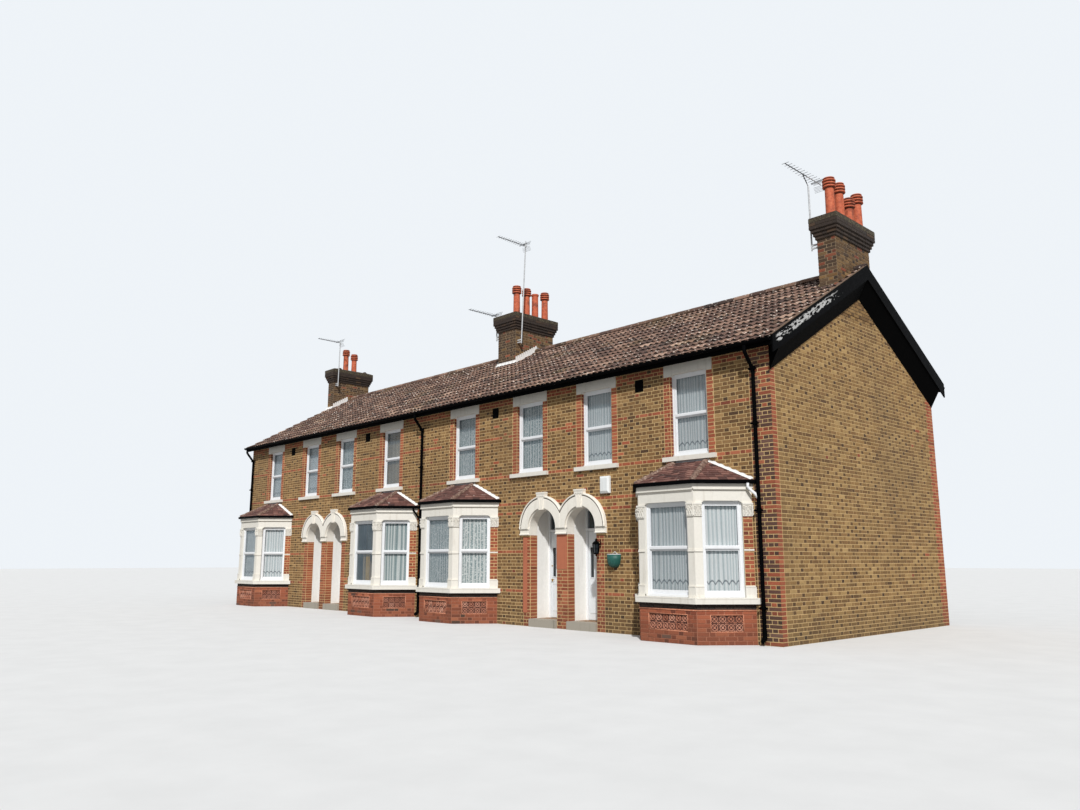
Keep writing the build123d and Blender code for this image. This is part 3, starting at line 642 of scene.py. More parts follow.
front_bricks = Heap()
lay(front_bricks, stand_at(0, FACE), 0.0, WALL_HEAD, front_spans, front_kind)
REVEALS = [(x, WINDOW_HALF, 0.088, SILL, HEAD) for x in UPPER_WINDOWS]
REVEALS += [(x, DOOR_HALF, 0.215, FLOOR, IMPOST) for x in DOORS]
for x, half, deep, low, high in REVEALS:
    for side, turn in ((-1, pi / 2), (1, -pi / 2)):
        at = stand_at(x + side * half, FACE if side < 0 else FACE + deep, 0, turn)
        lay(front_bricks, at, low, high, lambda z: [(0.0, deep)], lambda u, c: 1.0, 0.003)
front_bricks.piece("front_bricks", brick, "stock_brick")

# %% [markdown]
# ## The gable
# The gable is one clean field of yellow brick, cut along both slopes of the roof. A thin strip of the
# front's red brick returns round its corner, and a wider one stands at the back corner, up to 5.3 m.

# %% Gable bricks


def slope_limits(z, lift=0.0):
    """Where the underside of the roof cuts a cross wall at a height, measured from the front face."""
    if z < WALL_HEAD + lift:
        return 0.0, DEPTH
    rise = (z - WALL_HEAD - lift) / tan(PITCH)
    rear_head = RIDGE - ROOF_THICK - tan(PITCH) * REAR_RUN
    return rise, DEPTH - max(0.0, (z - rear_head - lift) / tan(PITCH))


def gable_kind(u, course):
    z = (course + 0.5) * COURSE
    if u < QUOIN:
        return 1.0
    if u > DEPTH - 0.30:
        return 1.0 if z < 5.3 else 4.0
    return 1.0 if dice.random() < 0.002 else (0.0 if dice.random() < 0.3 else 4.0)


def gable_spans(z):
    low, high = slope_limits(z, 0.03)
    if high - low < 0.1:
        return []
    spans = [(low, high)]
    if low < QUOIN < high:
        spans = [(low - JOINT / 2, QUOIN), (QUOIN, high)]
    return spans


gable_bricks = Heap()
lay(gable_bricks, stand_at(ROW_END, FACE, 0, pi / 2), 0.0, RIDGE - 0.2, gable_spans, gable_kind)
gable_bricks.piece("gable_bricks", brick, "stock_brick")

# %% [markdown]
# ## The far end
# The far end is cut along the roof's slopes in the same way. It only mixes two yellows.

# %% End bricks


def end_spans(z):
    low, high = slope_limits(z, 0.03)
    return [(DEPTH - high, DEPTH - low)] if high - low > 0.1 else []


end_bricks = Heap()
lay(end_bricks, stand_at(-ROW_END, BACK, 0, -pi / 2), 0.0, RIDGE - 0.2, end_spans,
    lambda u, c: 0.0 if dice.random() < 0.7 else 4.0)
end_bricks.piece("end_bricks", brick, "stock_brick")

# %% [markdown]
# ## The back
# The back has one window and one door a house on the ground floor and two windows above. One table of places
# and heights is enough for them.

# %% Back bricks


def back_spans(z):
    spans = [(-ROW_END, ROW_END)]
    rows = ((UPPER_WINDOWS, SILL, HEAD), (BAYS, REAR_SILL, REAR_HEAD), (HALLS, -1.0, REAR_DOOR_HEAD))
    for places, sill, head in rows:
        half = window_reach(z, sill, head)
        for x in places if half else ():
            spans = cut(spans, -x - half, -x + half)
    return spans


back_bricks = Heap()
lay(back_bricks, stand_at(0, BACK, 0, pi), 0.0, 5.69, back_spans,
    lambda u, c: 0.0 if dice.random() < 0.8 else (1.0 if dice.random() < 0.2 else 4.0))
back_bricks.piece("back_bricks", brick, "stock_brick")
for node in ("front_wall_piers", "front_wall_upper", "rear_wall_lower", "rear_wall_upper", "party_walls",
             "right_gable_wall", "left_end_wall"):
    coat_solid(node, front_mortar)

# %% [markdown]
# ## Roof tiles
# The roof has double-roll clay tiles: each tile is a wave with two rolls, and each row rests on the heads of
# the row below. A bump map would lose the toothed shadow under every row, which is what the eye reads as a
# tiled roof. So each tile is a small curved sheet with a thick lower edge, tilted a little by the tile under
# it and never quite like its neighbour. A plain slab below closes the roof.

# %% Tile clay and felt
tile_clay = Finish("roof_tile", 0.85)
tile_tone = tile_clay.mark("tone")
tile_body = tile_clay.ramp(tile_tone, (0.0, srgb(48, 34, 29)), (0.35, srgb(92, 67, 56)),
                           (0.7, srgb(132, 102, 86)), (1.0, srgb(176, 146, 126)))
moss = tile_clay.band(tile_clay.noise(1.1, 5), 0.5, 0.75)
tile_body = tile_clay.stain(tile_body, srgb(104, 90, 50), moss, 0.4)
grime = tile_clay.band(tile_clay.noise(17, 5), 0.50, 0.66)
tile_body = tile_clay.stain(tile_body, srgb(38, 28, 24), grime, 0.25)
# Pale flecks: partly lichen and partly painted sun glints on the tiles.
lichen_and_glints = tile_clay.band(tile_clay.noise(16, 4), 0.615, 0.645)
tile_body = tile_clay.stain(tile_body, srgb(226, 214, 200), lichen_and_glints, 0.9)
# Kind 1 is painted near-black: dirt and painted shade at the tile noses, painted shadow at the tile heads.
row_shade_and_dirt = tile_clay.band(tile_clay.mark("kind"), 0.4, 0.6)
tile_body = tile_clay.stain(tile_body, srgb(20, 14, 12), row_shade_and_dirt, 0.80)
tile_grain = tile_clay.noise(120, 4)
tile_clay.colour(tile_body).rough(tile_grain, 0.75, 0.95).bump(tile_grain, 0.004, 0.5)

under_felt = Finish("dark_under_tiles", 0.95)
felt_grain = under_felt.noise(40, 4)
under_felt.colour(under_felt.ramp(felt_grain, (0.3, srgb(30, 25, 22)), (0.7, srgb(56, 47, 40))))
under_felt.bump(felt_grain, 0.003)

print("lichen, grime and moss on", tile_clay.material.name)

# %% [markdown]
# ## Rows of tiles
# A slope is described by how far up and how far out of it a point lies, so that the same lines serve the
# front and the back. Each tile has a dark lower edge, partly dirt and partly painted shade of the gap beneath
# it, a bright back, and a dark head that is painted shadow of the row above it.

# %% Rows of tiles
TILE, ROLL, GAUGE = 0.330, 0.165, 0.333
EAVES = 3.890


def slope_length(side):
    """From the lower edge of a slope up to the ridge line."""
    return (EAVES - side * RIDGE_Y) / cos(PITCH)


def on_slope(side):
    """Places on a roof slope: along the row, up from its lower edge, and out of the tiles."""
    edge = RIDGE - tan(PITCH) * (EAVES - side * RIDGE_Y)
    c, s = cos(PITCH), sin(PITCH)
    return lambda x, up, out: (x, side * (EAVES - up * c + out * s), edge + up * s + out * c)


def roof_tiles(side, rows, points_a_roll):
    heap, place = Heap(), on_slope(side)
    length = slope_length(side)
    for row in range(rows):
        for column in range(-1, int((VERGE + ROW_END) / TILE) + 1):
            left = -ROW_END + column * TILE + (ROLL if row % 2 else 0)
            a, b = max(left, -ROW_END), min(left + TILE, VERGE - 0.034)
            if b - a < 0.04:
                continue
            slip, lift = dice.uniform(-0.006, 0.006), dice.uniform(-0.002, 0.002)
            nose = row * GAUGE - (0.035 if row == 0 else 0) + slip
            head = min(row * GAUGE + GAUGE + 0.03, length)
            steps = max(2, round((b - a) / ROLL * points_a_roll))
            across = [a + (b - a) * i / steps for i in range(steps + 1)]
            wave = [-0.034 * (1 - (0.5 + 0.5 * cos(2 * pi * (x + ROW_END) / ROLL)) ** 1.3)
                    for x in across]
            shade = tone_near(0.48, 0.17)

            def skin(edges, kind):
                heap.grid([[place(x, up, out + w + lift) for x, w in zip(across, wave)] for up, out in edges],
                          shade, kind)

            # The nose is painted dark, partly dirt and partly painted shade of the gap beneath; the head is
            # painted dark as the shadow of the row above.
            skin(((nose + 0.06, -0.024), (nose, -0.022), (nose, -0.007)), 1.0)
            skin(((nose, -0.007), (nose, -0.001), (nose + 0.15, -0.013), (head - 0.085, -0.029)), 0.0)
            skin(((head - 0.085, -0.029), (head, -0.035)), 1.0 if row < rows - 1 else 0.0)
    return heap


def roof_slab(side):
    heap, place = Heap(), on_slope(side)
    length = slope_length(side)
    drop = ROOF_THICK * cos(PITCH)
    loops = []
    for x in (-ROW_END, VERGE - 0.028):
        lean = tan(PITCH)
        loops.append([place(x, 0.032, -0.070), place(x, length - 0.070 * lean, -0.070),
                      place(x, length - drop * lean, -drop), place(x, 0.032, -drop)])
    heap.loft(loops)
    return heap


print("the front tiles start at", [round(v, 2) for v in on_slope(-1)(0, 0, 0)])

# %% [markdown]
# ## Laying the roof
# The front has 14 rows and the back 13, with fewer points in each wave, as it's seen from farther off. The
# tiles and the slab under them stand in for the plain slopes.

# %% Laying the roof
front_tiles = roof_tiles(-1, 14, 8)
rear_tiles = roof_tiles(1, 13, 6)
front_tiles.piece("front_roof_tiles", tile_clay, "roof_tile", replaces=["front_roof_slope"])
rear_tiles.piece("rear_roof_tiles", tile_clay, "roof_tile", replaces=["rear_roof_slope"])
for side, name, node in ((-1, "front_roof_slab", "front_roof_slope"),
                         (1, "rear_roof_slab", "rear_roof_slope")):
    roof_slab(side).piece(name, under_felt, "roof_tile", replaces=[node])

# %% [markdown]
# ## Ridge tiles
# Half-round tiles close the ridge. Each is a short bent plate with its own thickness, and mortar fills the
# joints.

# %% Ridge tiles
RIDGE_SEAT = 7.781
ridge, ridge_mortar = Heap(), Heap()
ridge_stretches = [(-ROW_END + STACK_END, -STACK_HALF), (STACK_HALF, ROW_END - STACK_END), (ROW_END, VERGE)]
for start, end in ridge_stretches:
    count = max(1, round((end - start) / 0.45))
    step = (end - start) / count
    for i in range(count):
        lift = dice.uniform(-0.003, 0.0)
        x0, x1 = start + i * step + 0.006, start + (i + 1) * step - 0.006
        arcs = []
        for x, reach in ((x0, 0.112), (x0 + 0.04, 0.114), (x1, 0.110)):
            arc = [(x, RIDGE_Y + reach * cos(a), RIDGE_SEAT + lift + reach * sin(a))
                   for a in half_turn(12)]
            arc += [(x, RIDGE_Y + (reach - 0.016) * cos(a), RIDGE_SEAT + lift + (reach - 0.016) * sin(a))
                    for a in reversed(half_turn(12))]
            arcs.append(arc)
        ridge.loft(arcs, tone_near(0.4, 0.2))
        ridge_mortar.loft([[(x, RIDGE_Y + 0.1 * cos(a), RIDGE_SEAT + 0.1 * sin(a))
                            for a in half_turn(8)] for x in (x0 - 0.02, x0 + 0.03)])
print("ridge tiles:", len(ridge.faces), "faces")

# %% [markdown]
# ## Mortar at the verge
# A line of mortar with a slightly uneven face closes the open ends of the tiles above the black board.

# %% Verge mortar
for side in (-1, 1):
    place = on_slope(side)
    length = slope_length(side)
    loops = []
    for i in range(60):
        up = length * i / 59
        wobble = dice.uniform(-0.004, 0.004)
        loops.append([place(VERGE - 0.052, up, -0.03), place(VERGE - 0.008 + wobble / 2, up, -0.005),
                      place(VERGE - 0.010 + wobble / 2, up, 0.014 + wobble),
                      place(VERGE - 0.030, up, 0.022 + wobble), place(VERGE - 0.052, up, 0.010)])
    ridge_mortar.loft(loops)
ridge.piece("ridge_tile_run", tile_clay, "roof_tile", replaces=["ridge_tiles"])
verge_mortar = mortar_finish("verge_mortar", srgb(124, 100, 82), srgb(82, 66, 54))
ridge_mortar.piece("ridge_and_verge_mortar", verge_mortar, "plaster")

# %% [markdown]
# ## Chimney stacks
# The three stacks carry four courses that each reach a little further out, and a thick mortar cap that sheds
# rain round the pots. The bricks are sooty and darker than the walls. Here the solid core is kept a little
# small and the bricks stand out of it to the real size, so the joints are sunk.

# %% Stack bricks and caps
STACK_FRONT, STACK_BACK, NECK = -0.720, 0.850, RIDGE + 0.530
STACKS = [(ROW_END - STACK_END, ROW_END), (-STACK_HALF, STACK_HALF), (-ROW_END, -ROW_END + STACK_END)]
stack_bricks, stack_cores, corbel_cores, stack_caps = Heap(), Heap(), Heap(), Heap()
row_place = stand_at(0, 0)
STACK_COURSES, CORBEL_STEP, CORBEL_REACH = 19, 0.029, 0.116
CAP_SEAT = NECK + 0.5


def ring_faces(x0, x1, y0, y1):
    """The four faces of an upright block: where each starts, its turn and its length."""
    return [(x0, y0, 0, x1 - x0), (x1, y0, pi / 2, y1 - y0), (x1, y1, pi, x1 - x0),
            (x0, y1, -pi / 2, y1 - y0)]


def stack_kind(number, face):
    reds = {(0, 0): 0.30, (0, 1): 0.06}.get((number, face), 0.08)
    golds = {(0, 1): 0.80, (1, 1): 0.70, (2, 1): 0.55}.get((number, face), 0.12)

    def choose(u, course):
        roll = dice.random()
        return 1.0 if roll < reds else (0.0 if roll < reds + golds else 3.0)
    return choose


for number, (x0, x1) in enumerate(STACKS):
    low = NECK - STACK_COURSES * COURSE
    stack_cores.box(row_place, (x0 + 0.006, x1 - 0.006), (STACK_FRONT + 0.006, STACK_BACK - 0.006),
                    (6.7, NECK))
    for face, (x, y, turn, length) in enumerate(ring_faces(x0, x1, STACK_FRONT, STACK_BACK)):
        lay(stack_bricks, stand_at(x, y, low, turn), 0.0, STACK_COURSES * COURSE, lambda z: [(0.0, length)],
            stack_kind(number, face), 0.0)
    for step in range(4):
        out = CORBEL_STEP * (step + 1)
        z = NECK + COURSE * step
        top = CAP_SEAT - 0.006 if step == 3 else z + COURSE
        corbel_cores.box(row_place, (x0 - out + 0.006, x1 + out - 0.006),
                         (STACK_FRONT - out + 0.006, STACK_BACK + out - 0.006), (z, top))
        for x, y, turn, length in ring_faces(x0 - out, x1 + out, STACK_FRONT - out, STACK_BACK + out):
            lay(stack_bricks, stand_at(x, y, z, turn), 0.0, 2 * COURSE if step == 3 else COURSE,
                lambda z: [(0.0, length)], lambda u, c: 5.0 if dice.random() < 0.85 else 3.0, 0.0)
    loops = []
    for inset, z in ((0.0, 0.385), (0.0, 0.480), (0.014, 0.498), (0.10, 0.535), (0.17, 0.560)):
        reach = CORBEL_REACH - inset
        loop = []
        for x, y, turn, length in ring_faces(x0 - reach, x1 + reach, STACK_FRONT - reach, STACK_BACK + reach):
            at = stand_at(x, y, NECK, turn)
            loop += [at(length * k / 8, dice.uniform(0.0, 0.006), z + dice.uniform(-0.004, 0.0))
                     for k in range(8)]
        loops.append(loop)
    stack_caps.loft(loops)
stack_bricks.piece("stack_bricks", brick, "stock_brick")
stack_cores.piece("stack_cores", stack_mortar, "stock_brick", replaces=["chimney_stacks"])
# The corbel joints take the near-black mortar: soot and painted shade under the oversailing courses.
corbel_cores.piece("corbel_cores", soot_and_shade_mortar, "stock_brick", replaces=["chimney_stacks"])

cap_mortar = Finish("weathered_cap", 0.95)
cap_grain = cap_mortar.noise(30, 6)
cap_body = cap_mortar.ramp(cap_grain, (0.3, srgb(32, 26, 20)), (0.52, srgb(64, 54, 40)),
                           (0.72, srgb(118, 112, 86)))
cap_mortar.colour(cap_body).rough(cap_grain, 0.85, 1.0).bump(cap_grain, 0.012)
stack_caps.piece("stack_caps", cap_mortar, "stock_brick")

# %% [markdown]
# ## Chimney pots
# A pot is thrown on a wheel, so its outline turned about an axis is exactly right. The tall pots have a head
# of thick rings over a slim shaft. The grooves between the rings are made nearly black, so each ring and
# groove is turned by itself and gets a tone of its own. One pot is plain. Flues that are no longer used are
# closed by a half-round tile, open at both ends.

# %% Pots
pot_clay = Finish("terracotta", 0.75)
pot_grain = pot_clay.noise(18, 6)
pot_body = pot_clay.ramp(pot_grain, (0.25, srgb(150, 70, 44)), (0.5, srgb(196, 96, 62)),
                         (0.8, srgb(216, 130, 92)))
pot_soot = pot_clay.band(pot_clay.noise(5, 5), 0.5, 0.72)
pot_body = pot_clay.stain(pot_body, srgb(84, 44, 34), pot_soot, 0.7)
# Faces with a low tone, the grooves, the band below the rings and the bore, are made nearly black.
pot_dark = pot_clay.band(pot_clay.mark("tone"), 0.5, 0.1)
pot_body = pot_clay.stain(pot_body, srgb(34, 18, 14), pot_dark, 0.92)
pot_clay.colour(pot_body).rough(pot_grain, 0.6, 0.9).bump(pot_grain, 0.004)

RIGHT_POTS, LEFT_POTS = ROW_END - 0.145, -ROW_END + 0.215
POTS = [(RIGHT_POTS, 0.160, 0.900), (RIGHT_POTS, 0.590, 0.900), (RIGHT_POTS, 1.020, 0.675),
        (RIGHT_POTS, 1.440, 0.900), (0.240, 0.180, 0.900), (0.250, 0.580, 0.900), (0.290, 0.900, 0.780),
        (0.330, 1.280, 0.900), (LEFT_POTS, 0.612, 0.900), (LEFT_POTS, 0.985, 0.780)]
PLAIN_POTS = {6}
FLUE_CAPS = [(-0.190, 0.330), (LEFT_POTS, 0.276), (LEFT_POTS, 1.415)]


def pot_parts(height, plain):
    """Outlines of (radius, height) with a tone: shaft, rings, grooves, lip and bore."""
    parts = []
    if plain:
        parts.append(([(0.105, 0.0), (0.100, height - 0.07), (0.112, height - 0.06), (0.120, height - 0.03),
                       (0.120, height - 0.008), (0.112, height)], 1.0))
    else:
        neck = height - 0.245
        parts.append(([(0.105, 0.0), (0.098, neck)], 1.0))
        parts.append(([(0.098, neck), (0.112, neck + 0.006), (0.112, neck + 0.014)], 0.0))
        for ring in range(3):
            low = height - 0.231 + ring * 0.068
            parts.append(([(0.112, low), (0.137, low + 0.004), (0.145, low + 0.012), (0.145, low + 0.034),
                           (0.137, low + 0.043)], 1.0))
            parts.append(([(0.137, low + 0.043), (0.113, low + 0.048), (0.112, low + 0.068)], 0.0))
        parts.append(([(0.112, height - 0.027), (0.124, height - 0.022), (0.124, height - 0.005),
                       (0.115, height)], 1.0))
    top = parts[-1][0][-1][0]
    parts.append(([(top, height), (0.084, height - 0.002)], 0.6))
    parts.append(([(0.084, height - 0.002), (0.078, height - 0.03), (0.078, 0.03), (0.002, 0.03)], 0.0))
    return parts


pots = Heap()
for number, (x, along, height) in enumerate(POTS):
    at = stand_at(x, STACK_FRONT + along, CAP_SEAT)
    for outline, shade in pot_parts(height, number in PLAIN_POTS):
        pots.turned(at, outline, 32, shade)
for x, along in FLUE_CAPS:
    outer = [round_at(0.105, a) for a in half_turn(12)]
    inner = [round_at(0.087, a) for a in reversed(half_turn(12))]
    pots.loft([[(x + end, STACK_FRONT + along + a, CAP_SEAT + b) for a, b in outer + inner]
               for end in (-0.15, 0.15)], 0.15)
pots.piece("clay_pots", pot_clay, "terracotta", replaces=["chimney_pots"])

# %% [markdown]
# ## The bay bases
# Below each bay window is a low brick wall. Its middle carries a sunk panel of moulded clay tiles between
# plain piers of bright red brick, and a thin moulded course runs above it. The top of the wall is painted
# near-black as the shadow under the sill. Each tile shows a raised ring round four petals and a button on a
# ground painted dark as shade.

# %% Panel clay and bay faces
CANT = atan2(BAY_REACH, BAY_HALF - BAY_FRONT_HALF)
CANT_LENGTH = hypot(BAY_REACH, BAY_HALF - BAY_FRONT_HALF)
BAY_FRONT = FACE - BAY_REACH
PANEL_LOW, PANEL_HIGH, PANEL_DEEP, FLOWER = 0.225, 0.525, 0.030, 0.150
panel_clay = Finish("moulded_clay", 0.85)
panel_grain = panel_clay.noise(60, 5)
panel_body = panel_clay.ramp(panel_clay.mark("tone"), (0.0, srgb(120, 64, 46)), (0.5, srgb(172, 108, 82)),
                             (1.0, srgb(216, 164, 140)))
panel_body = panel_clay.stain(panel_body, srgb(200, 176, 150), panel_clay.band(panel_grain, 0.5, 0.75), 0.3)
# Kind 1 is the ground between the raised parts, painted dark as shade.
panel_body = panel_clay.mix(panel_clay.band(panel_clay.mark("kind"), 0.4, 0.6), panel_body, srgb(62, 30, 24))
# The top of each sunk panel is painted dark as the shadow of its upper edge.
panel_top_shadow = panel_clay.band(panel_clay.axis("Z"), PANEL_HIGH - 0.030, PANEL_HIGH - 0.012)
panel_body = panel_clay.stain(panel_body, srgb(40, 18, 14), panel_top_shadow, 0.8)
panel_clay.colour(panel_body).rough(panel_grain, 0.75, 0.95).bump(panel_grain, 0.003)
BASE_TOP = 0.715


def bay_faces(x):
    """The three faces of a bay: where each stands, its length and how many panel tiles it carries."""
    return [(stand_at(x - BAY_HALF, FACE, 0, -CANT), CANT_LENGTH, 4),
            (stand_at(x - BAY_FRONT_HALF, BAY_FRONT), 2 * BAY_FRONT_HALF, 6),
            (stand_at(x + BAY_FRONT_HALF, BAY_FRONT, 0, CANT), CANT_LENGTH, 4)]


def sunk_stand(at, deep):
    """The same stand with its wall face moved inward."""
    return lambda a, b, h: at(a, b + deep, h)


course_clay = Finish("moulded_course", 0.85)
course_grain = course_clay.noise(34, 5)
course_clay.colour(course_clay.ramp(course_grain, (0.3, srgb(168, 94, 66)), (0.7, srgb(212, 150, 118))))
course_clay.rough(course_grain, 0.75, 0.95).bump(course_grain, 0.002)


print("slanted side of a bay", round(CANT_LENGTH, 3), "m")

# %% [markdown]
# ## A moulded tile
# Rings and petals are built round the middle of the tile, with points given by reach and angle.

# %% One flower tile


def flower_tile(heap, at, u, z):
    """A raised ring, four petals and a button on a square ground painted dark as shade, with a thin rim."""
    tone, half = tone_near(0.6, 0.1), FLOWER / 2 - 0.002
    cu, cz = u + FLOWER / 2, z + FLOWER / 2

    def spot(reach, angle, out):
        return at(cu + reach * cos(angle), out, cz + reach * sin(angle))

    # The ground square is painted dark (kind 1) as the shade between the raised parts.
    heap.add([at(cu + a * half, -0.0015, cz + b * half) for a, b in ((-1, -1), (1, -1), (1, 1), (-1, 1))],
             [(0, 1, 2, 3)], 0.0, 1.0)
    for reach, thick in ((0.062, 0.017), (0.020, 0.019)):
        rings = [[spot(r, pi * j / 8, out) for j in range(16)] for r, out in (
            (reach, -0.001), (reach - 0.004, -0.016), (reach - thick + 0.004, -0.016),
            (reach - thick, -0.001))]
        heap.loft(rings, tone)
    for k in range(4):
        a = pi * (k / 2 + 0.25)
        corner = sqrt(2) * half
        petal = ((0.016, 0, -0.001), (0.030, -0.45, -0.001), (0.047, 0, -0.001), (0.030, 0.45, -0.001),
                 (0.030, 0, -0.014))
        spandrel = ((corner, 0, -0.001), (corner - 0.030, -0.22, -0.001), (corner - 0.034, 0, -0.001),
                    (corner - 0.030, 0.22, -0.001), (corner - 0.016, 0, -0.013))
        for points in (petal, spandrel):
            heap.add([spot(reach, a + turn, out) for reach, turn, out in points],
                     [(0, 1, 4), (1, 2, 4), (2, 3, 4), (3, 0, 4)], tone)


print("a flower tile is", FLOWER, "m wide")

# %% [markdown]
# ## Building the bases
# Bricks go round the panels, tiles into them, and a thin round course runs along all three faces. The top
# rows are laid in near-black clay, painted shadow under the sill.

# %% Bay bases
base_bricks, flowers, courses = Heap(), Heap(), Heap()
for x in BAYS:
    for at, length, tiles in bay_faces(x):
        half = tiles * FLOWER / 2
        middle = length / 2

        def base_spans(z):
            whole = [(0.0, length)]
            return cut(whole, middle - half, middle + half) if PANEL_LOW < z < PANEL_HIGH else whole

        # The top two courses take the near-black clay: painted shadow under the sill.
        lay(base_bricks, at, 0.0, BASE_TOP - 0.012, base_spans,
            lambda u, c: 5.0 if c > 7 else (1.0 if dice.random() < 0.96 else 2.0), 0.006)
        sunk = sunk_stand(at, PANEL_DEEP)
        for i in range(tiles):
            for j in range(2):
                flower_tile(flowers, sunk, middle - half + i * FLOWER, PANEL_LOW + j * FLOWER)
        courses.rod([at(0, -0.006, 0.602), at(length, -0.006, 0.602)], 0.013, 8)
        for u in (middle - half, middle + half):
            courses.rod([at(u, 0.004, PANEL_LOW), at(u, 0.004, PANEL_HIGH)], 0.012, 8)
        for z in (PANEL_LOW, PANEL_HIGH):
            courses.rod([at(middle - half, 0.004, z), at(middle + half, 0.004, z)], 0.012, 8)
courses.piece("bay_base_courses", course_clay, "terracotta", smooth=True)
base_bricks.piece("bay_base_bricks", brick, "stock_brick")
flowers.piece("flower_panels", panel_clay, "terracotta")
coat_solid("bay_bases", red_mortar)

# %% [markdown]
# ## The bay roofs
# Each bay has a small hipped roof of plain clay tiles. Every slope is a flat field with two slanted sides,
# so the tiles are laid in rows and cut where the row meets a hip. Fat half-round tiles cover the hips, and
# lead closes the joint with the wall.

# %% Small roof tile clay
bay_tile_clay = Finish("small_roof_tile", 0.85)
bay_tone = bay_tile_clay.mark("tone")
bay_body = bay_tile_clay.ramp(bay_tone, (0.0, srgb(62, 38, 34)), (0.5, srgb(102, 66, 58)),
                              (1.0, srgb(140, 100, 88)))
bay_moss = bay_tile_clay.band(bay_tile_clay.noise(14, 6), 0.58, 0.72)
bay_body = bay_tile_clay.stain(bay_body, srgb(168, 150, 136), bay_moss, 0.5)
bay_fleck = bay_tile_clay.band(bay_tile_clay.noise(7, 5), 0.66, 0.70)
bay_body = bay_tile_clay.stain(bay_body, srgb(206, 196, 186), bay_fleck, 0.7)
bay_grain = bay_tile_clay.noise(90, 4)
bay_tile_clay.colour(bay_body).rough(bay_grain, 0.75, 0.95).bump(bay_grain, 0.003)

print("small tile clay:", bay_tile_clay.material.name)

# %% [markdown]
# ## Tiling a field
# A field is a flat outline. Every row asks how wide the field is at its height, and tiles are cut to that.
# Hip tiles overlap like cups up the slanted edge.

# %% Fields and hips


def tiled_field(heap, corners, gauge=0.098, width=0.165):
    """Rows of plain tiles on a flat field; the first two corners are its lower edge, left to right."""
    a, b = Vector(corners[0]), Vector(corners[1])
    along = (b - a).normalized()
    out = (b - a).cross(Vector(corners[2]) - a).normalized()
    up = out.cross(along)
    flat = [((Vector(c) - a).dot(along), (Vector(c) - a).dot(up)) for c in corners]
    top = max(s for _, s in flat)

    def limits(s):
        s = min(max(s, 0.0005), top - 0.0005)
        hits = []
        for (u0, s0), (u1, s1) in zip(flat, flat[1:] + flat[:1]):
            if (s0 - s) * (s1 - s) <= 0 and s0 != s1:
                hits.append(u0 + (u1 - u0) * (s - s0) / (s1 - s0))
        return min(hits), max(hits)

    def at(u, s, h):
        return tuple(a + along * u + up * s + out * h)

    rows = math.ceil(top / gauge)
    for row in range(rows):
        s0, s1 = row * gauge - (0.02 if row == 0 else 0), min((row + 1) * gauge + 0.02, top)
        (l0, r0), (l1, r1) = limits(max(s0, 0)), limits(s1)
        count = int((max(r0, r1) - min(l0, l1)) / width) + 2
        start = min(l0, l1) - (width / 2 if row % 2 else 0)
        for i in range(count):
            p, q = start + i * width + 0.002, start + (i + 1) * width - 0.002
            p0, q0, p1, q1 = max(p, l0), min(q, r0), max(p, l1), min(q, r1)
            if q0 - p0 < 0.01:
                continue
            if q1 < p1:
                p1 = q1 = min(max((p + q) / 2, l1), r1)
            lift, slip = dice.uniform(0, 0.003), dice.uniform(-0.004, 0.004)
            crown = 0.003
            middle0, middle1 = (p0 + q0) / 2, (p1 + q1) / 2
            s0n = s0 + slip
            top_near = [at(p0, s0n, 0.016 + lift), at(middle0, s0n, 0.016 + lift + crown),
                        at(q0, s0n, 0.016 + lift)]
            top_far = [at(p1, s1, 0.004), at(middle1, s1, 0.004 + crown), at(q1, s1, 0.004)]
            low_near = [at(p0, s0n, 0.004 + lift), at(middle0, s0n, 0.004 + lift), at(q0, s0n, 0.004 + lift)]
            heap.grid([low_near, top_near, top_far], tone_near(0.5, 0.25))


def hip_tiles(heap, low, high, radius=0.068, count=5):
    """Overlapping round tiles up a hip."""
    low, high = Vector(low), Vector(high)
    for i in range(count):
        a, b = low.lerp(high, i / count), low.lerp(high, (i + 1.08) / count)
        along = (b - a).normalized()
        side = along.cross(Vector((0, 0, 1))).normalized()
        up = side.cross(along)
        loops = []
        for point, reach in ((a, radius), (a.lerp(b, 0.2), radius), (b, radius * 0.82)):
            loops.append([point + up * (-0.012) + reach * (cos(t) * side + sin(t) * up)
                          for t in half_turn(10)])
        heap.loft(loops, tone_near(0.75, 0.15))


print("fields and hips are ready")

# %% [markdown]
# ## Tiling the bays
# Three fields, two hips and two round ends cover each bay.

# %% Bay roofs
bay_tiles, hips = Heap(), Heap()
EAVE_HALF = BAY_FRONT_HALF + 0.042 * tan(CANT / 2)
WALL_HALF = BAY_HALF + 0.042 / sin(CANT)
for x in BAYS:
    front_left = (x - EAVE_HALF, BAY_FRONT - 0.042, BAY_EAVES)
    front_right = (x + EAVE_HALF, BAY_FRONT - 0.042, BAY_EAVES)
    wall_left, wall_right = (x - WALL_HALF, FACE, BAY_EAVES), (x + WALL_HALF, FACE, BAY_EAVES)
    top_left, top_right = (x - TOP_HALF, FACE, BAY_TOP), (x + TOP_HALF, FACE, BAY_TOP)
    tiled_field(bay_tiles, [front_left, front_right, top_right, top_left])
    tiled_field(bay_tiles, [wall_left, front_left, top_left])
    tiled_field(bay_tiles, [front_right, wall_right, top_right])
    hip_tiles(hips, front_left, top_left)
    hip_tiles(hips, front_right, top_right)
    for corner in (top_left, top_right):
        hips.turned(stand_at(corner[0], corner[1] - 0.045, corner[2] - 0.06),
                    [(0.002, -0.02), (0.060, 0.0), (0.066, 0.035), (0.050, 0.065), (0.020, 0.080),
                     (0.002, 0.082)], 14, 0.7)
hip_clay = Finish("hip_tile", 0.85)
hip_grain = hip_clay.noise(26, 6)
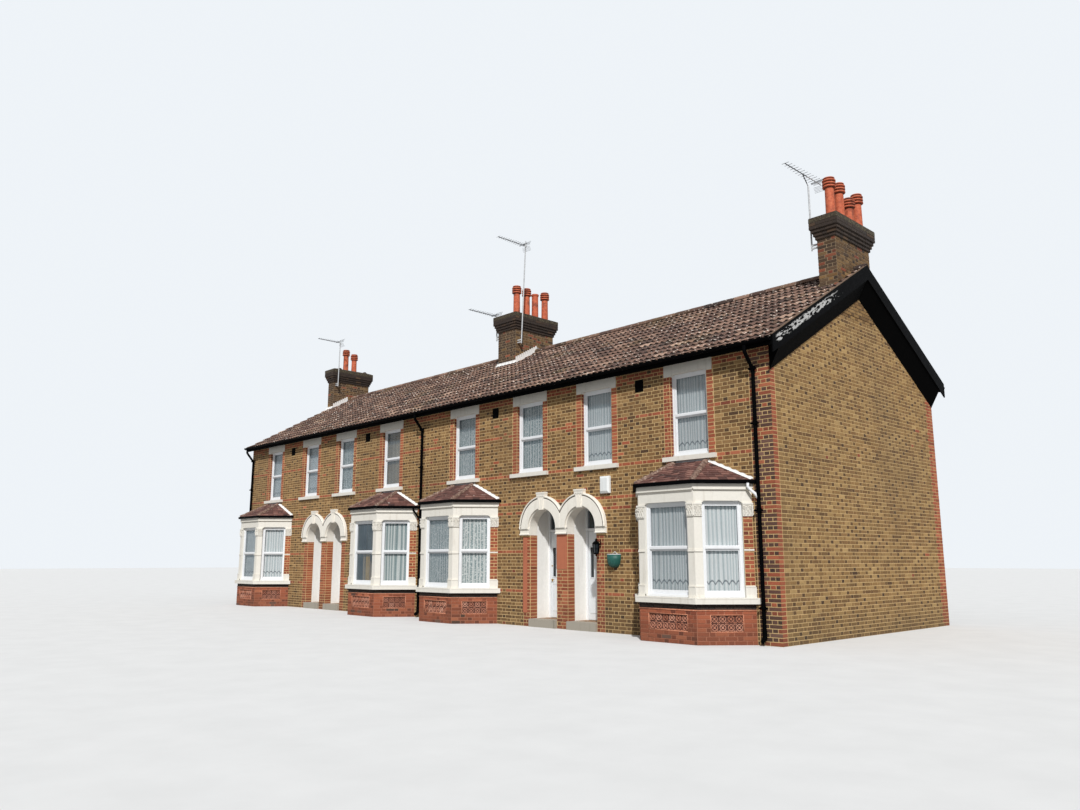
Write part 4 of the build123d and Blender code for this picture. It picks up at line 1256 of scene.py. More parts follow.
hip_clay.colour(hip_clay.ramp(hip_grain, (0.3, srgb(78, 54, 46)), (0.55, srgb(132, 104, 90)),
                              (0.72, srgb(186, 170, 154))))
hip_clay.rough(hip_grain, 0.8, 1.0).bump(hip_grain, 0.004)
bay_tiles.piece("bay_roof_tiles", bay_tile_clay, "roof_tile")
hips.piece("bay_hip_tiles", hip_clay, "roof_tile", smooth=True)
coat_solid("bay_roofs", under_felt)

# %% [markdown]
# ## Paint, plaster and small finishes
# The cream stone paint, the white joinery paint and the black ironwork are all thin coats over something
# rougher. Each gets a faint unevenness of colour, a soft streak of dirt that runs down from ledges, and a
# bump at the scale of its brush marks.

# %% A brushed coat


def painted(name, clean, dirty, roughness=0.6, streak=0.35, grain=22, bump=0.002):
    """A brushed coat with dirt streaks that run down."""
    made = Finish(name, roughness)
    brush = made.noise(grain, 5)
    body = made.ramp(brush, (0.25, tuple(0.93 * v for v in clean[:3]) + (1,)), (0.7, clean))
    runs = made.band(made.noise(3.0, 6, made.stretched(4, 4, 0.5)), 0.52, 0.78)
    body = made.stain(body, dirty, runs, streak)
    made.colour(body).rough(brush, max(roughness - 0.12, 0.05), min(roughness + 0.12, 1))
    return made.bump(brush, bump)


print("a brushed coat is ready")

# %% [markdown]
# ## The coats
# Each coat has a clean and a dirty colour, then how rough it is, how much of it streaks, and the scale and
# height of its brush marks.

# %% Paints
cream_paint = painted("cream_stone_paint", srgb(230, 225, 214), srgb(184, 174, 157), 0.75, 0.35)
arch_paint = painted("old_arch_paint", srgb(243, 237, 225), srgb(196, 186, 168), 0.8, 0.35)
white_paint = painted("white_joinery_paint", srgb(234, 235, 236), srgb(196, 197, 197), 0.35, 0.2, 30, 0.001)
door_paint = painted("door_paint", srgb(222, 226, 228), srgb(170, 174, 176), 0.35, 0.25, 30, 0.001)
box_plastic = painted("white_box_plastic", srgb(236, 238, 236), srgb(188, 186, 176), 0.4, 0.3, 12, 0.0005)
black_plastic = painted("black_gutter_plastic", srgb(4, 4, 5), srgb(11, 12, 12), 0.6, 0.4, 14, 0.001)
dark_iron = painted("dark_iron", srgb(4, 4, 4), srgb(13, 9, 8), 0.7, 0.4, 30, 0.001)
for paint in (black_plastic, dark_iron):
    paint.shader.inputs["Specular IOR Level"].default_value = 0.02
steel = painted("dark_aerial_metal", srgb(74, 76, 80), srgb(40, 38, 38), 0.45, 0.5, 40, 0.0005)
steel.shader.inputs["Metallic"].default_value = 0.7
brass = painted("worn_brass", srgb(168, 136, 74), srgb(96, 76, 44), 0.35, 0.4, 40, 0.0005)
brass.shader.inputs["Metallic"].default_value = 0.8
mast_metal = Finish("mast_metal", 0.45)
mast_grain = mast_metal.noise(30, 4)
mast_pale = mast_metal.ramp(mast_grain, (0.3, srgb(168, 170, 172)), (0.7, srgb(214, 216, 216)))
mast_dark = mast_metal.ramp(mast_grain, (0.3, srgb(38, 38, 40)), (0.7, srgb(74, 76, 80)))
mast_metal.colour(mast_metal.mix(mast_metal.band(mast_metal.axis("Y"), -0.71, -0.69), mast_dark, mast_pale))
mast_metal.rough(mast_grain, 0.35, 0.6).bump(mast_grain, 0.0005)
lead = painted("lead", srgb(166, 170, 174), srgb(222, 225, 226), 0.6, 0.7, 9, 0.003)
white_lead = painted("painted_flashing", srgb(240, 238, 234), srgb(196, 192, 186), 0.75, 0.4, 12, 0.003)
lining_paint = painted("porch_paint", srgb(246, 244, 238), srgb(206, 202, 192), 0.7, 0.3, 16, 0.002)
render_coat = painted("terracotta_render", srgb(182, 108, 78), srgb(150, 84, 60), 0.9, 0.5, 12, 0.002)
basket_green = painted("basket_green", srgb(24, 86, 76), srgb(14, 44, 40), 0.55, 0.5, 30, 0.002)
step_stone = painted("step_stone", srgb(168, 160, 146), srgb(104, 98, 86), 0.9, 0.6, 30, 0.004)
boards = painted("floor_boards", srgb(138, 104, 70), srgb(96, 70, 46), 0.7, 0.5, 8, 0.002)

print("white joinery paint has", len(white_paint.tree.nodes), "nodes")

# %% [markdown]
# ## The peeling board
# The verge board has lost its black paint near the eaves, down to pale old wood. The noise is stretched
# along the slope, so the bare streaks run with the board. They grow toward the eaves and keep to the middle
# of its outer face.

# %% Peeling paint
verge_paint = Finish("peeling_black_paint", 0.5)
slanted = {"Rotation": (PITCH, 0, 0), "Scale": (1, 0.77, 0.2), "Vector": verge_paint.place}
along_board = verge_paint.node("Mapping", slanted, vector_type="TEXTURE")
verge_grain = verge_paint.noise(5, 7, along_board.outputs["Vector"])
peel_line = verge_paint.band(verge_paint.axis("Y"), -0.9, -1.8)
front_only = verge_paint.band(verge_paint.axis("X"), ROW_END + 0.247, ROW_END + 0.249)
worn = verge_paint.maths("ADD", verge_grain, verge_paint.product(peel_line, 0.19))
bare = verge_paint.band(worn, 0.66, 0.70)
rise = verge_paint.product(verge_paint.axis("Z"), cos(PITCH))
across_board = verge_paint.maths("ADD", rise, verge_paint.product(verge_paint.axis("Y"), -sin(PITCH)))
verge_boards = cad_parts["bargeboards"]
board_corners = [verge_boards.matrix_world @ v.co for v in verge_boards.data.vertices]
board_top = max(cos(PITCH) * p.z - sin(PITCH) * p.y for p in board_corners if p.y < RIDGE_Y)
unrest = verge_paint.product(verge_paint.maths("SUBTRACT", verge_grain, 0.5), 0.12)
ragged = verge_paint.maths("ADD", across_board, unrest)
middle_only = verge_paint.product(verge_paint.band(ragged, board_top - 0.190, board_top - 0.165),
                                  verge_paint.band(ragged, board_top - 0.040, board_top - 0.060))
print("top line of the verge board:", round(board_top, 3))
bare = verge_paint.product(bare, middle_only)
bare = verge_paint.product(bare, verge_paint.band(verge_paint.axis("Y"), -3.80, -3.72))
bare = verge_paint.product(bare, verge_paint.product(peel_line, front_only))
coat = verge_paint.ramp(verge_grain, (0.3, srgb(3, 3, 4)), (0.7, srgb(8, 8, 9)))
wood = verge_paint.ramp(verge_paint.noise(40, 4), (0.3, srgb(150, 148, 144)), (0.7, srgb(226, 226, 224)))
verge_paint.shader.inputs["Specular IOR Level"].default_value = 0.02
verge_paint.colour(verge_paint.mix(bare, coat, wood)).rough(verge_grain, 0.35, 0.75).bump(verge_grain, 0.003)

# %% [markdown]
# ## Glass
# Window glass is clear when looked at straight. At a slant it grows opaque and shows a blue-grey colour, a
# painted reflection of the sky, beside its own gloss. The lights of the doors are an opaque near-black,
# painted shade of the dark rooms behind them.

# %% Glass
glass = Finish("window_glass", 0.04)
ripple = glass.noise(2.2, 2)
# The blue-grey colour shows where the glass turns opaque at a slant: a painted reflection of the sky.
glass.colour(glass.ramp(ripple, (0.3, srgb(88, 106, 118)), (0.7, srgb(116, 134, 144))))
slant = glass.node("LayerWeight", {"Blend": 0.35}).outputs["Facing"]
glass.feed(glass.shader, "Alpha", glass.spread(slant, 0.08, 0.72))
glass.bump(ripple, 0.002, 0.3)

# An opaque near-black: painted shade of the unlit spaces behind the glass.
dark_glass = Finish("dark_glass", 0.08)
dark_glass.colour(dark_glass.ramp(dark_glass.noise(3, 3), (0.3, srgb(18, 22, 25)), (0.7, srgb(40, 46, 50))))
dark_glass.bump(dark_glass.noise(30, 2), 0.001, 0.3)

print("glass is ready")

# %% [markdown]
# ## Coats on the solids
# The solids that stay in sight get their finish here, each by its name.

# %% Coats on the solids
NODE_FINISHES = {
    cream_paint: ["bay_sills", "bay_columns", "bay_entablatures", "window_lintels", "window_sills"],
    arch_paint: ["door_arches"],
    lining_paint: ["porch_linings"],
    white_paint: ["window_frames", "door_frames"],
    glass: ["window_glass"],
    dark_glass: ["front_door_glass_%d" % n for n in range(1, 5)],
    door_paint: ["front_door_%d" % n for n in range(1, 5)] + ["rear_doors"],
    black_plastic: ["gutters", "downpipes"],
    verge_paint: ["bargeboards"],
    dark_iron: ["eaves_boards", "verge_soffits", "air_vents", "porch_lantern"],
    mast_metal: ["aerials"],
    step_stone: ["doorsteps"],
    boards: ["floors"],
    box_plastic: ["alarm_box"],
    basket_green: ["wall_basket"],
}
for finish, names in NODE_FINISHES.items():
    for name in names:
        coat_solid(name, finish)
print("painted", sum(len(names) for names in NODE_FINISHES.values()), "solids")

# %% [markdown]
# ## Sash windows
# A sash window is two frames of glass that slide in a box. The solids give the outer box, the meeting rail
# and the panes. What the eye still misses is the thinner frame of each sash, the deep bottom rail, and the
# timber sill. Each is a few plain bars, so one function sets the bars for a window of any size.

# %% Sash bars
BAR, RAIL = 0.062, 0.070


def sash_bars(heap, at, width, height, meeting, stile=0.030):
    """The sashes of one window; at puts zero depth on the outer face of the frame."""
    half = width / 2 - BAR
    for low, high, near, foot in ((meeting + RAIL / 2, height - BAR, 0.010, 0.0),
                                  (BAR, meeting - RAIL / 2, 0.022, 0.062)):
        far = near + 0.016
        for side in (-1, 1):
            heap.box(at, (side * half, side * (half - stile)), (near, far), (low, high))
        heap.box(at, (-half + stile, half - stile), (near, far), (high - 0.026, high))
        if foot:
            heap.box(at, (-half + stile, half - stile), (near, far), (low, low + foot))
    heap.box(at, (-half, half), (-0.010, 0.002), (meeting - 0.024, meeting + 0.024))
    heap.box(at, (-width / 2 + 0.002, width / 2 - 0.002), (-0.034, 0.002), (0.002, 0.042))
    for side in (-1, 1):
        heap.box(at, (side * (width / 2 - 0.001), side * (width / 2 - 0.022)), (-0.012, 0.002),
                 (0.042, height))
    heap.box(at, (-width / 2 + 0.022, width / 2 - 0.022), (-0.012, 0.002), (height - 0.022, height - 0.001))


def bay_lights(x):
    """Outer faces of the three bay frames, with their widths."""
    side_width = CANT_LENGTH - POST - STUB
    along = STUB + side_width / 2
    left, front, right = (entry[0] for entry in bay_faces(x))
    return [(left, along, side_width), (front, BAY_FRONT_HALF, 2 * (BAY_FRONT_HALF - POST)),
            (right, POST + side_width / 2, side_width)]


def shifted(at, u, depth, z):
    """The same stand, moved along, inward and up."""
    return lambda a, b, h: at(u + a, depth + b, z + h)


joinery = Heap()
upper_sash = (2 * WINDOW_HALF, 1.692, 0.846)
for x in UPPER_WINDOWS:
    sash_bars(joinery, stand_at(x, FACE + FRAME_DEPTH, SILL), *upper_sash)
    sash_bars(joinery, stand_at(x, BACK - FRAME_DEPTH, SILL, pi), *upper_sash)
for x in BAYS:
    sash_bars(joinery, stand_at(x, BACK - FRAME_DEPTH, REAR_SILL, pi), 2 * WINDOW_HALF, 1.260, 0.630)
    for at, middle, width in bay_lights(x):
        height = BAY_HEAD - BAY_SILL
        sash_bars(joinery, shifted(at, middle, 0.070, BAY_SILL), width, height, height * 0.515, 0.016)
joinery.piece("sash_bars", white_paint, "white_frame", bevel=0.002)

# %% [markdown]
# ## Net curtains
# Nearly every window has a net behind its glass. A net is a wide thin cloth that is gathered on a wire, so
# it falls in upright folds. A cloth simulation could make them, but nothing pushes a hanging net, so the
# folds are drawn directly: a wave along the wire that wanders a little, deeper near the wire and softer at
# the hem. The mesh is one layer thick. Marks on its points say how far along and how high each point is, and
# whether it is on a ridge or in a hollow, so the finish can weave a border and let the dark room show
# between the folds.

# %% Curtain cloths
SCALLOP = 0.125


def cloth_finish(name, low, middle, high, thin, thick=1.0, weave=260):
    """A thin cloth with painted shade in its hollows and painted light on its ridges, and more open in its
    hollows.
    """
    made = Finish(name, 0.95)
    ridge, across, rise = made.mark("fold"), made.mark("across"), made.mark("rise")
    threads = made.noise(weave, 3)
    # The colour follows the folds: painted shade in the hollows and painted light on the ridges.
    body = made.ramp(ridge, (0.05, low), (0.5, middle), (0.95, high))
    scallop = made.product(made.maths("ABSOLUTE", made.maths(
        "SINE", made.product(across, pi / SCALLOP), 0), 0), 0.042)
    away = made.maths("ABSOLUTE", made.maths("SUBTRACT", made.maths("SUBTRACT", rise, 0.10), scallop), 0)
    border = made.product(made.band(away, 0.016, 0.006), made.mark("border"))
    body = made.stain(body, srgb(84, 92, 100), border, 0.75)
    sprigs = made.product(made.band(made.noise(30, 5), 0.50, 0.60), made.mark("lace"))
    body = made.stain(body, high, sprigs, 0.8)
    open_weave = made.maths("ADD", thin, made.product(ridge, thick - thin))
    open_weave = made.maths("ADD", open_weave, made.product(sprigs, 0.3))
    solid = made.maths("ADD", open_weave, made.product(threads, 0.08))
    made.feed(made.shader, "Alpha", made.maths("MINIMUM", solid, 1.0))
    return made.colour(body).rough(threads, 0.85, 1.0).bump(threads, 0.0005)


white_net = cloth_finish("white_net", srgb(196, 208, 208), srgb(236, 241, 240), srgb(252, 253, 250), 0.86)
cream_net = cloth_finish("cream_net", srgb(150, 168, 168), srgb(184, 197, 194), srgb(250, 250, 245), 0.80)
blind_cloth = cloth_finish("roller_blind_cloth", srgb(150, 134, 108), srgb(166, 148, 120),
                           srgb(182, 164, 134), 0.99)
gold_cloth = cloth_finish("gold_curtain_cloth", srgb(120, 84, 30), srgb(196, 154, 66), srgb(232, 196, 104),
                          0.99)
print("cloths: white net, cream net, blind, gold")

# %% [markdown]
# ## Hanging a cloth
# The wave is drawn column by column on a stand behind the glass. Its measured length is kept with the cloth.

# %% Hanging a cloth
curtain_rods = Heap()
CLOTH_PLACES = []


def hang(name, at, width, drop, cloth, apart=0.075, deep=0.008, border=0.0, lace=0.0, held="gathered",
         folds=8):
    """A cloth on its wire, noted with its measured size; at puts zero on the middle of the hem."""
    columns, rows = max(16, int(width / apart * folds)), 12
    phase, wander = dice.uniform(0, 6.28), dice.uniform(0, 6.28)
    corners, marks = [], {"fold": [], "across": [], "rise": [], "border": [], "lace": []}
    for r in range(rows + 1):
        h = drop * r / rows
        reach = deep * (0.62 + 0.38 * r / rows)
        for c in range(columns + 1):
            u = -width / 2 + width * c / columns
            turn = (2 * pi * u / apart + 2.6 * sin(u * 7.1 + wander) + phase
                    + 1.1 * sin(u * 19.0 + 2 * wander) + 0.4 * sin(2.1 * h + u * 9 + wander))
            wave = 0.72 * sin(turn) + 0.28 * sin(2.3 * turn + wander)
            corners.append(at(u, reach * wave, h))
            for key, value in zip(marks, (0.5 - 0.5 * wave, u, r / rows, border, lace)):
                marks[key].append(value)
    wide = columns + 1
    mesh = bpy.data.meshes.new(name)
    mesh.from_pydata(corners, [], grid_faces(rows + 1, wide))
    for key, values in marks.items():
        mesh.attributes.new(key, "FLOAT", "POINT").data.foreach_set("value", values)
    mesh.shade_smooth()
    cut_width = sum((Vector(corners[i + 1]) - Vector(corners[i])).length
                    for r in range(rows + 1) for i in range(r * wide, r * wide + columns)) / (rows + 1)
    made = set_out(name, mesh)
    mesh.materials.append(cloth.material)
    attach(made, "house_row")
    CLOTH_PLACES.append((made, (cut_width, drop), held))


def window_cloth(name, at, width, low, high, reveal, cloth=white_net, inset=0.012, **looks):
    """A rod across a window from reveal to reveal, and the cloth on it."""
    curtain_rods.rod([at(-reveal, 0, high), at(reveal, 0, high)], 0.005, 8)
    hang(name, shifted(at, 0, 0, low), width - 2 * inset, high - low - 0.004, cloth, **looks)


print("a cloth can be hung")

# %% [markdown]
# ## Curtains for every window
# Some windows have a net with a scalloped border, some a lace, one a blind, and one bay has two short
# curtains. The back repeats the plain nets.

# %% Curtains for every window
NET_DEPTH = 0.160 + 0.020
for number, x in enumerate(UPPER_WINDOWS):
    at = stand_at(x, FACE + NET_DEPTH)
    looks = {"border": 1.0} if number in (0, 3, 4, 7) else {"lace": 1.0, "cloth": cream_net}
    if number == 2:
        looks = {"cloth": blind_cloth, "deep": 0.0015, "apart": 0.4, "held": "hung"}
    window_cloth("upper_net_%d" % number, at, 2 * WINDOW_HALF, SILL + 0.070, HEAD - 0.050,
                 WINDOW_HALF, **looks)
    window_cloth("rear_upper_net_%d" % number, stand_at(x, BACK - NET_DEPTH, 0, pi), 2 * WINDOW_HALF,
                 SILL + 0.070, HEAD - 0.050, WINDOW_HALF, folds=6)
for number, x in enumerate(BAYS):
    window_cloth("rear_net_%d" % number, stand_at(x, BACK - NET_DEPTH, 0, pi), 2 * WINDOW_HALF,
                 REAR_SILL + 0.070, REAR_HEAD - 0.050, WINDOW_HALF, folds=6)
    for side, (stand, middle, width) in enumerate(bay_lights(x)):
        at = shifted(stand, middle, NET_DEPTH - 0.020, 0)
        looks = {"border": 1.0, "deep": 0.010}
        if number == 1:
            looks = {"lace": 1.0, "deep": 0.010, "cloth": cream_net}
        elif number == 2 and side != 1:
            looks = {"apart": 0.11, "cloth": cream_net}
        if number == 2 and side == 1:
            curtain_rods.rod([at(-width / 2, 0, 1.700), at(width / 2, 0, 1.700)], 0.005, 8)
            hang("gold_curtain", shifted(at, 0.045, 0, 0.905), 0.20, 0.790, gold_cloth, apart=0.060,
                 deep=0.013)
            hang("pale_curtain", shifted(at, -0.150, 0, 0.905), 0.11, 0.790, blind_cloth, apart=0.055,
                 deep=0.012)
        else:
            window_cloth("bay_%d_net_%d" % (number + 1, side), at, width, BAY_SILL + 0.070, BAY_HEAD - 0.060,
                         width / 2 - 0.0005, **looks)
rods = curtain_rods.piece("curtain_rods", white_paint, "white_frame", smooth=True)
for made, cut, held in CLOTH_PLACES:
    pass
print("cloths hung:", len(CLOTH_PLACES), "widest cut", round(max(c[0] for _, c, _ in CLOTH_PLACES), 2), "m")

# %% [markdown]
# ## Stone dressings
# The lintels and the heads of the bay lights are cut higher over the opening, with a slanted shoulder at
# each end.

# %% Lintel shoulders and bay heads
dressings = Heap()


def shoulder(heap, at, u, side, z, depth, drop=0.030, run=0.055, bearing=0.0):
    """A slanted drop below a stone head, at the end of an opening."""
    outline = [(u - side * bearing, z - drop), (u, z - drop), (u + side * run, z), (u - side * bearing, z)]
    if side > 0:
        outline = outline[::-1]
    heap.loft([[at(a, d, h) for a, h in outline] for d in depth])


for x in UPPER_WINDOWS:
    for at in (stand_at(x, FACE), stand_at(x, BACK, 0, pi)):
        for side in (1, -1):
            shoulder(dressings, at, -side * 0.449, side, HEAD + 0.001, (-0.0115, 0.088), 0.042, 0.070, 0.144)
        dressings.box(at, (-0.600, 0.600), (-0.024, 0.0), (HEAD + 0.205, HEAD + 0.239))
for x in BAYS:
    for at, middle, width in bay_lights(x):
        for side in (1, -1):
            shoulder(dressings, at, middle - side * (width / 2 + 0.002), side, BAY_HEAD, (0.002, 0.068),
                     0.036, 0.060)

print("shoulders:", len(dressings.faces), "faces")

# %% [markdown]
# ## Bay posts
# A carved head is a bead, three rows of leaves, a scroll at each corner and a flat slab on top. A leaf is a
# small bent grid, a scroll is a bar on a shrinking spiral, and both are set down again on each face of a
# post. The stubs against the wall have a shaft of red brick.

# %% Bay posts
LEAF_RIB = [(-1, 0.008), (-0.5, -0.003), (0, -0.009), (0.5, -0.003), (1, 0.008)]


def leaf(heap, at, u, z, width, height, curl):
    """One pointed leaf that stands off the bell and curls out at its tip."""
    rows = []
    for i in range(6):
        t = i / 5
        half = width / 2 * sin(pi * min(0.93, 0.30 + 0.63 * t))
        out = -0.006 - curl * t ** 2.2
        top = z + height * (t - 0.10 * max(0, t - 0.7))
        rows.append([at(u + half * share, out + lift, top) for share, lift in LEAF_RIB])
    heap.grid(rows)


def scroll(heap, at, u, z, side, reach=0.034):
    """A corner scroll: a rising, shrinking spiral of small round bar."""
    path = []
    for i in range(22):
        t = i / 21
        turn = pi * (0.5 + 3.2 * t) * side
        r = reach * (1 - 0.75 * t)
        path.append(at(u + r * cos(turn), -0.030 - 0.010 * t, z + r * sin(turn) * side))
    heap.rod(path, 0.0085, 6)


def post_dressing(at, u0, u1, brick_shaft):
    """Foot, rings and carved head on one face of a post."""
    width, middle = u1 - u0, (u0 + u1) / 2
    for low, high, out in ((1.015, 1.024, 0.030), (1.024, 1.040, 0.020), (0.825, 0.868, 0.030)):
        dressings.box(at, (u0, u1), (-out, 0.004), (low, high))
    if not brick_shaft:
        dressings.box(at, (u0, u1), (-0.020, 0.002), (1.645, 1.662))
    dressings.rod([at(u0, -0.012, 2.292), at(u1, -0.012, 2.292)], 0.014, 8)
    dressings.box(at, (u0 - 0.004, u1 + 0.004), (-0.040, 0.0), (2.496, 2.529))
    dressings.box(at, (u0, u1), (-0.032, 0.0), (2.480, 2.496))
    head = shifted(at, 0, -0.024, 0)
    for k in range(3):
        leaf(dressings, head, u0 + width * (k + 0.5) / 3, 2.308, width * 0.34, 0.088, 0.026)
    for k in range(2):
        leaf(dressings, head, u0 + width * (k + 1) / 3, 2.350, width * 0.30, 0.096, 0.024)
    leaf(dressings, head, middle, 2.395, width * 0.26, 0.085, 0.020)
    scroll(dressings, at, u0 + 0.034, 2.444, 1)
    scroll(dressings, at, u1 - 0.034, 2.444, -1)
    if brick_shaft:
        stub_mortar.box(at, (u0 + 0.001, u1 - 0.001), (-0.004, 0.0), (1.040, 2.280))
        lay(stub_bricks, shifted(at, 0, -0.004, 1.040), 0.0, 1.240, lambda z: [(u0, u1)],
            lambda u, c: 1.0, 0.004)


print("leaves and scrolls can be carved")

# %% [markdown]
# ## Dressing the posts
# Each bay has two stubs against the wall and two corner posts with two dressed faces.

# %% Dressed posts
stub_bricks, stub_mortar = Heap(), Heap()
for x in BAYS:
    left, front, right = (entry[0] for entry in bay_faces(x))
    post_dressing(left, 0.0, STUB, True)
    post_dressing(left, CANT_LENGTH - POST, CANT_LENGTH, False)
    post_dressing(front, 0.0, POST, False)
    post_dressing(front, 2 * BAY_FRONT_HALF - POST, 2 * BAY_FRONT_HALF, False)
    post_dressing(right, 0.0, POST, False)
    post_dressing(right, CANT_LENGTH - STUB, CANT_LENGTH, True)
    for at, length, _ in bay_faces(x):
        dressings.box(at, (0, length), (-0.094, -0.060), (0.800, 0.8245))
        dressings.box(at, (0, length), (-0.040, 0.0), (2.770, 2.792))
stub_bricks.piece("bay_stub_bricks", brick, "stock_brick")
stub_mortar.piece("bay_stub_mortar", front_mortar, "stock_brick")
dressings.piece("bay_and_lintel_dressings", cream_paint, "painted_stone", bevel=0.002)

# %% [markdown]
# ## The entrance arches
# Each arch has a broad flat ring, a thin roll outside it and a groove between that holds a dark bar, painted
# shade. The rolls of a pair meet over the middle pier. The keystone is a wedge with flutes, and a little
# cornice sits on it. Round mouldings are just a bar that follows the arch, and the ring is one strip of faces
# bent along it.

# %% Arch mouldings
HOOD_RADIUS, GROOVE_RADIUS = 0.723, 0.694
KEY_LOW, KEY_HIGH, KEY_FOOT, KEY_HEAD = 2.630, 2.940, 0.058, 0.098
KEY_CORNICE = [(2.925, 2.947, 0.118, 0.104), (3.002, 3.032, 0.145, 0.112),
               (2.982, 3.002, 0.139, 0.106)]
arches, grooves = Heap(), Heap()


def arch_path(x, side, radius, depth, stop=180.0, steps=40):
    """Points along an arch, from its outer foot over the crown."""
    return [(x + side * radius * cos(a), FACE + depth, SPRING + radius * sin(a))
            for a in (radians(stop) * k / steps for k in range(steps + 1))]


for house in range(4):
    x, side = DOORS[house], SIDES[house]
    hood_stop = 180 - degrees(acos(DOOR_OFFSET / HOOD_RADIUS))
    arches.rod(arch_path(x, side, HOOD_RADIUS, -0.076, hood_stop), 0.020, 10)
    # A dark bar in the groove between the roll and the ring: painted shade.
    grooves.rod(arch_path(x, side, GROOVE_RADIUS, -0.074, 180 - degrees(acos(DOOR_OFFSET / GROOVE_RADIUS))),
                0.010, 6)
    face = []
    for k in range(61):
        a = pi * k / 60
        outer = min(0.684, 0.605 / -cos(a)) if cos(a) < -0.5 else 0.684
        face.append([(x + side * r * cos(a), FACE + out, SPRING + r * sin(a))
                     for r, out in ((0.462, -0.029), (0.462, -0.076), (0.468, -0.081),
                                    (outer - 0.006, -0.081), (outer, -0.076), (outer, -0.070))])
    arches.grid(face)
    arches.rod(arch_path(x, side, 0.449, -0.030, 180), 0.013, 8)
    at = stand_at(x, FACE)
    for left, right in ((-1.0, -0.52), (-0.24, 0.24), (0.52, 1.0)):
        arches.loft([[at(left * KEY_FOOT, d, KEY_LOW), at(right * KEY_FOOT, d, KEY_LOW),
                      at(right * KEY_HEAD, d, KEY_HIGH), at(left * KEY_HEAD, d, KEY_HIGH)]
                     for d in (-0.104, -0.080)])
    for low, high, reach, out in KEY_CORNICE:
        arches.box(at, (-reach, reach), (-out, 0.0), (low, high))
for line in PAIR_LINES:
    at = stand_at(line, FACE)
    for low, high in ((-1.362, -1.044), (-0.172, 0.172), (1.044, 1.362)):
        arches.rod([at(low, -0.046, IMPOST + 0.020), at(high, -0.046, IMPOST + 0.020)], 0.020, 10)
        arches.box(at, (low, high), (-0.058, 0.0), (SPRING - 0.024, SPRING))
arches.piece("arch_mouldings", arch_paint, "painted_stone", bevel=0.002)
grooves.piece("arch_grooves", soot_and_shade_mortar, "painted_stone")

# %% [markdown]
# ## Smooth coats on the piers
# Beside the near pair of doors, parts of the brick piers have a smooth reddish coat of render. It is only a
# centimetre thick, so a thin block with soft edges over the bricks is enough. Its finish does the rest.

# %% Pier coats
coats = Heap()
near_pair = PAIR_LINES[0]
coats.box(row_place, (near_pair - 0.171, near_pair + 0.150), (FACE - 0.009, FACE), (1.290, IMPOST - 0.002))
coats.box(row_place, (near_pair - 1.290, near_pair - 1.150), (FACE - 0.009, FACE), (0.300, IMPOST - 0.030))
coats.piece("pier_coats", render_coat, "terracotta", bevel=0.003)

# %% [markdown]
# ## Doors
# The front doors are plain panelled leaves with two tall lights. Raised bars round the lights and the lower
# panels catch the light, and the handle and letter plate are small metal pieces. All of these must swing
# with the leaf, so they ride on the leaf's own body.

# %% Front doors
DOOR_FACE = FACE + 0.590 + 0.072 - 0.046
DOOR_PANELS = [(-0.332, -0.192, 1.095, 1.795), (0.192, 0.332, 1.095, 1.795), (-0.170, 0.170, 1.095, 1.980),
               (-0.330, -0.030, 0.330, 0.960), (0.030, 0.330, 0.330, 0.960)]


def framed(heap, at, u0, u1, z0, z1, bar=0.018, out=0.010):
    """A raised rim round a panel."""
    for a, b in ((u0, u0 + bar), (u1 - bar, u1)):
        heap.box(at, (a, b), (-out, 0.0), (z0, z1))
    for a, b in ((z0, z0 + bar), (z1 - bar, z1)):
        heap.box(at, (u0 + bar, u1 - bar), (-out, 0.0), (a, b))


for house in range(4):
    body = "front_door_%d_leaf" % (house + 1)
    at = stand_at(DOORS[house], DOOR_FACE)
    trim, metal = Heap(), Heap()
    for left, right, low, high in DOOR_PANELS:
        framed(trim, at, left, right, low, high)
    framed(trim, at, -0.125, 0.125, 1.150, 1.925, 0.012, 0.007)
    trim.piece("front_door_trim_%d" % (house + 1), door_paint, "white_door", body, bevel=0.002)
    lock = SIDES[house] * 0.335
    metal.box(at, (lock - 0.018, lock + 0.018), (-0.008, 0.0), (1.000, 1.060))
    metal.rod([at(lock, -0.004, 1.040), at(lock, -0.045, 1.040),
               at(lock - SIDES[house] * 0.10, -0.048, 1.040)], 0.008, 8)
    metal.turned(lambda a, b, h, at=at, lock=lock: at(lock + a, -h, 1.36 + b),
                 [(0.001, 0.012), (0.018, 0.012), (0.022, 0.004), (0.022, 0.0)], 16)
    metal.box(at, (-0.125, 0.125), (-0.008, 0.0), (1.010, 1.065))
    metal.box(at, (-0.105, 0.105), (-0.013, -0.006), (1.018, 1.058))
    metal.piece("front_door_metal_%d" % (house + 1), brass, "grey_steel", body, bevel=0.002)

# %% [markdown]
# ## Back doors
# The back doors stay shut, so their trims ride on the row itself.

# %% Back doors
back_trim, back_metal, back_panes = Heap(), Heap(), Heap()
for x in HALLS:
    at = stand_at(x, BACK - FRAME_DEPTH, 0.0, pi)
    framed(back_trim, at, -WINDOW_HALF, WINDOW_HALF, 0.0, 2.254, 0.060, 0.014)
    framed(back_trim, at, -0.330, 0.330, 1.180, 2.060, 0.035, 0.012)
    for a, b in ((-0.330, -0.030), (0.030, 0.330)):
        framed(back_trim, at, a, b, 0.240, 1.060, 0.020)
    back_trim.box(at, (-0.012, 0.012), (-0.012, 0.0), (1.215, 2.025))
    back_panes.box(at, (-0.295, 0.295), (-0.003, 0.002), (1.215, 2.025))
    back_metal.rod([at(0.335, -0.002, 1.05), at(0.335, -0.05, 1.05), at(0.24, -0.052, 1.05)], 0.009, 8)
back_trim.piece("back_door_trim", door_paint, "white_door", bevel=0.002)
back_panes.piece("back_door_panes", dark_glass, "clear_glass")
back_metal.piece("back_door_handles", brass, "grey_steel", smooth=True)

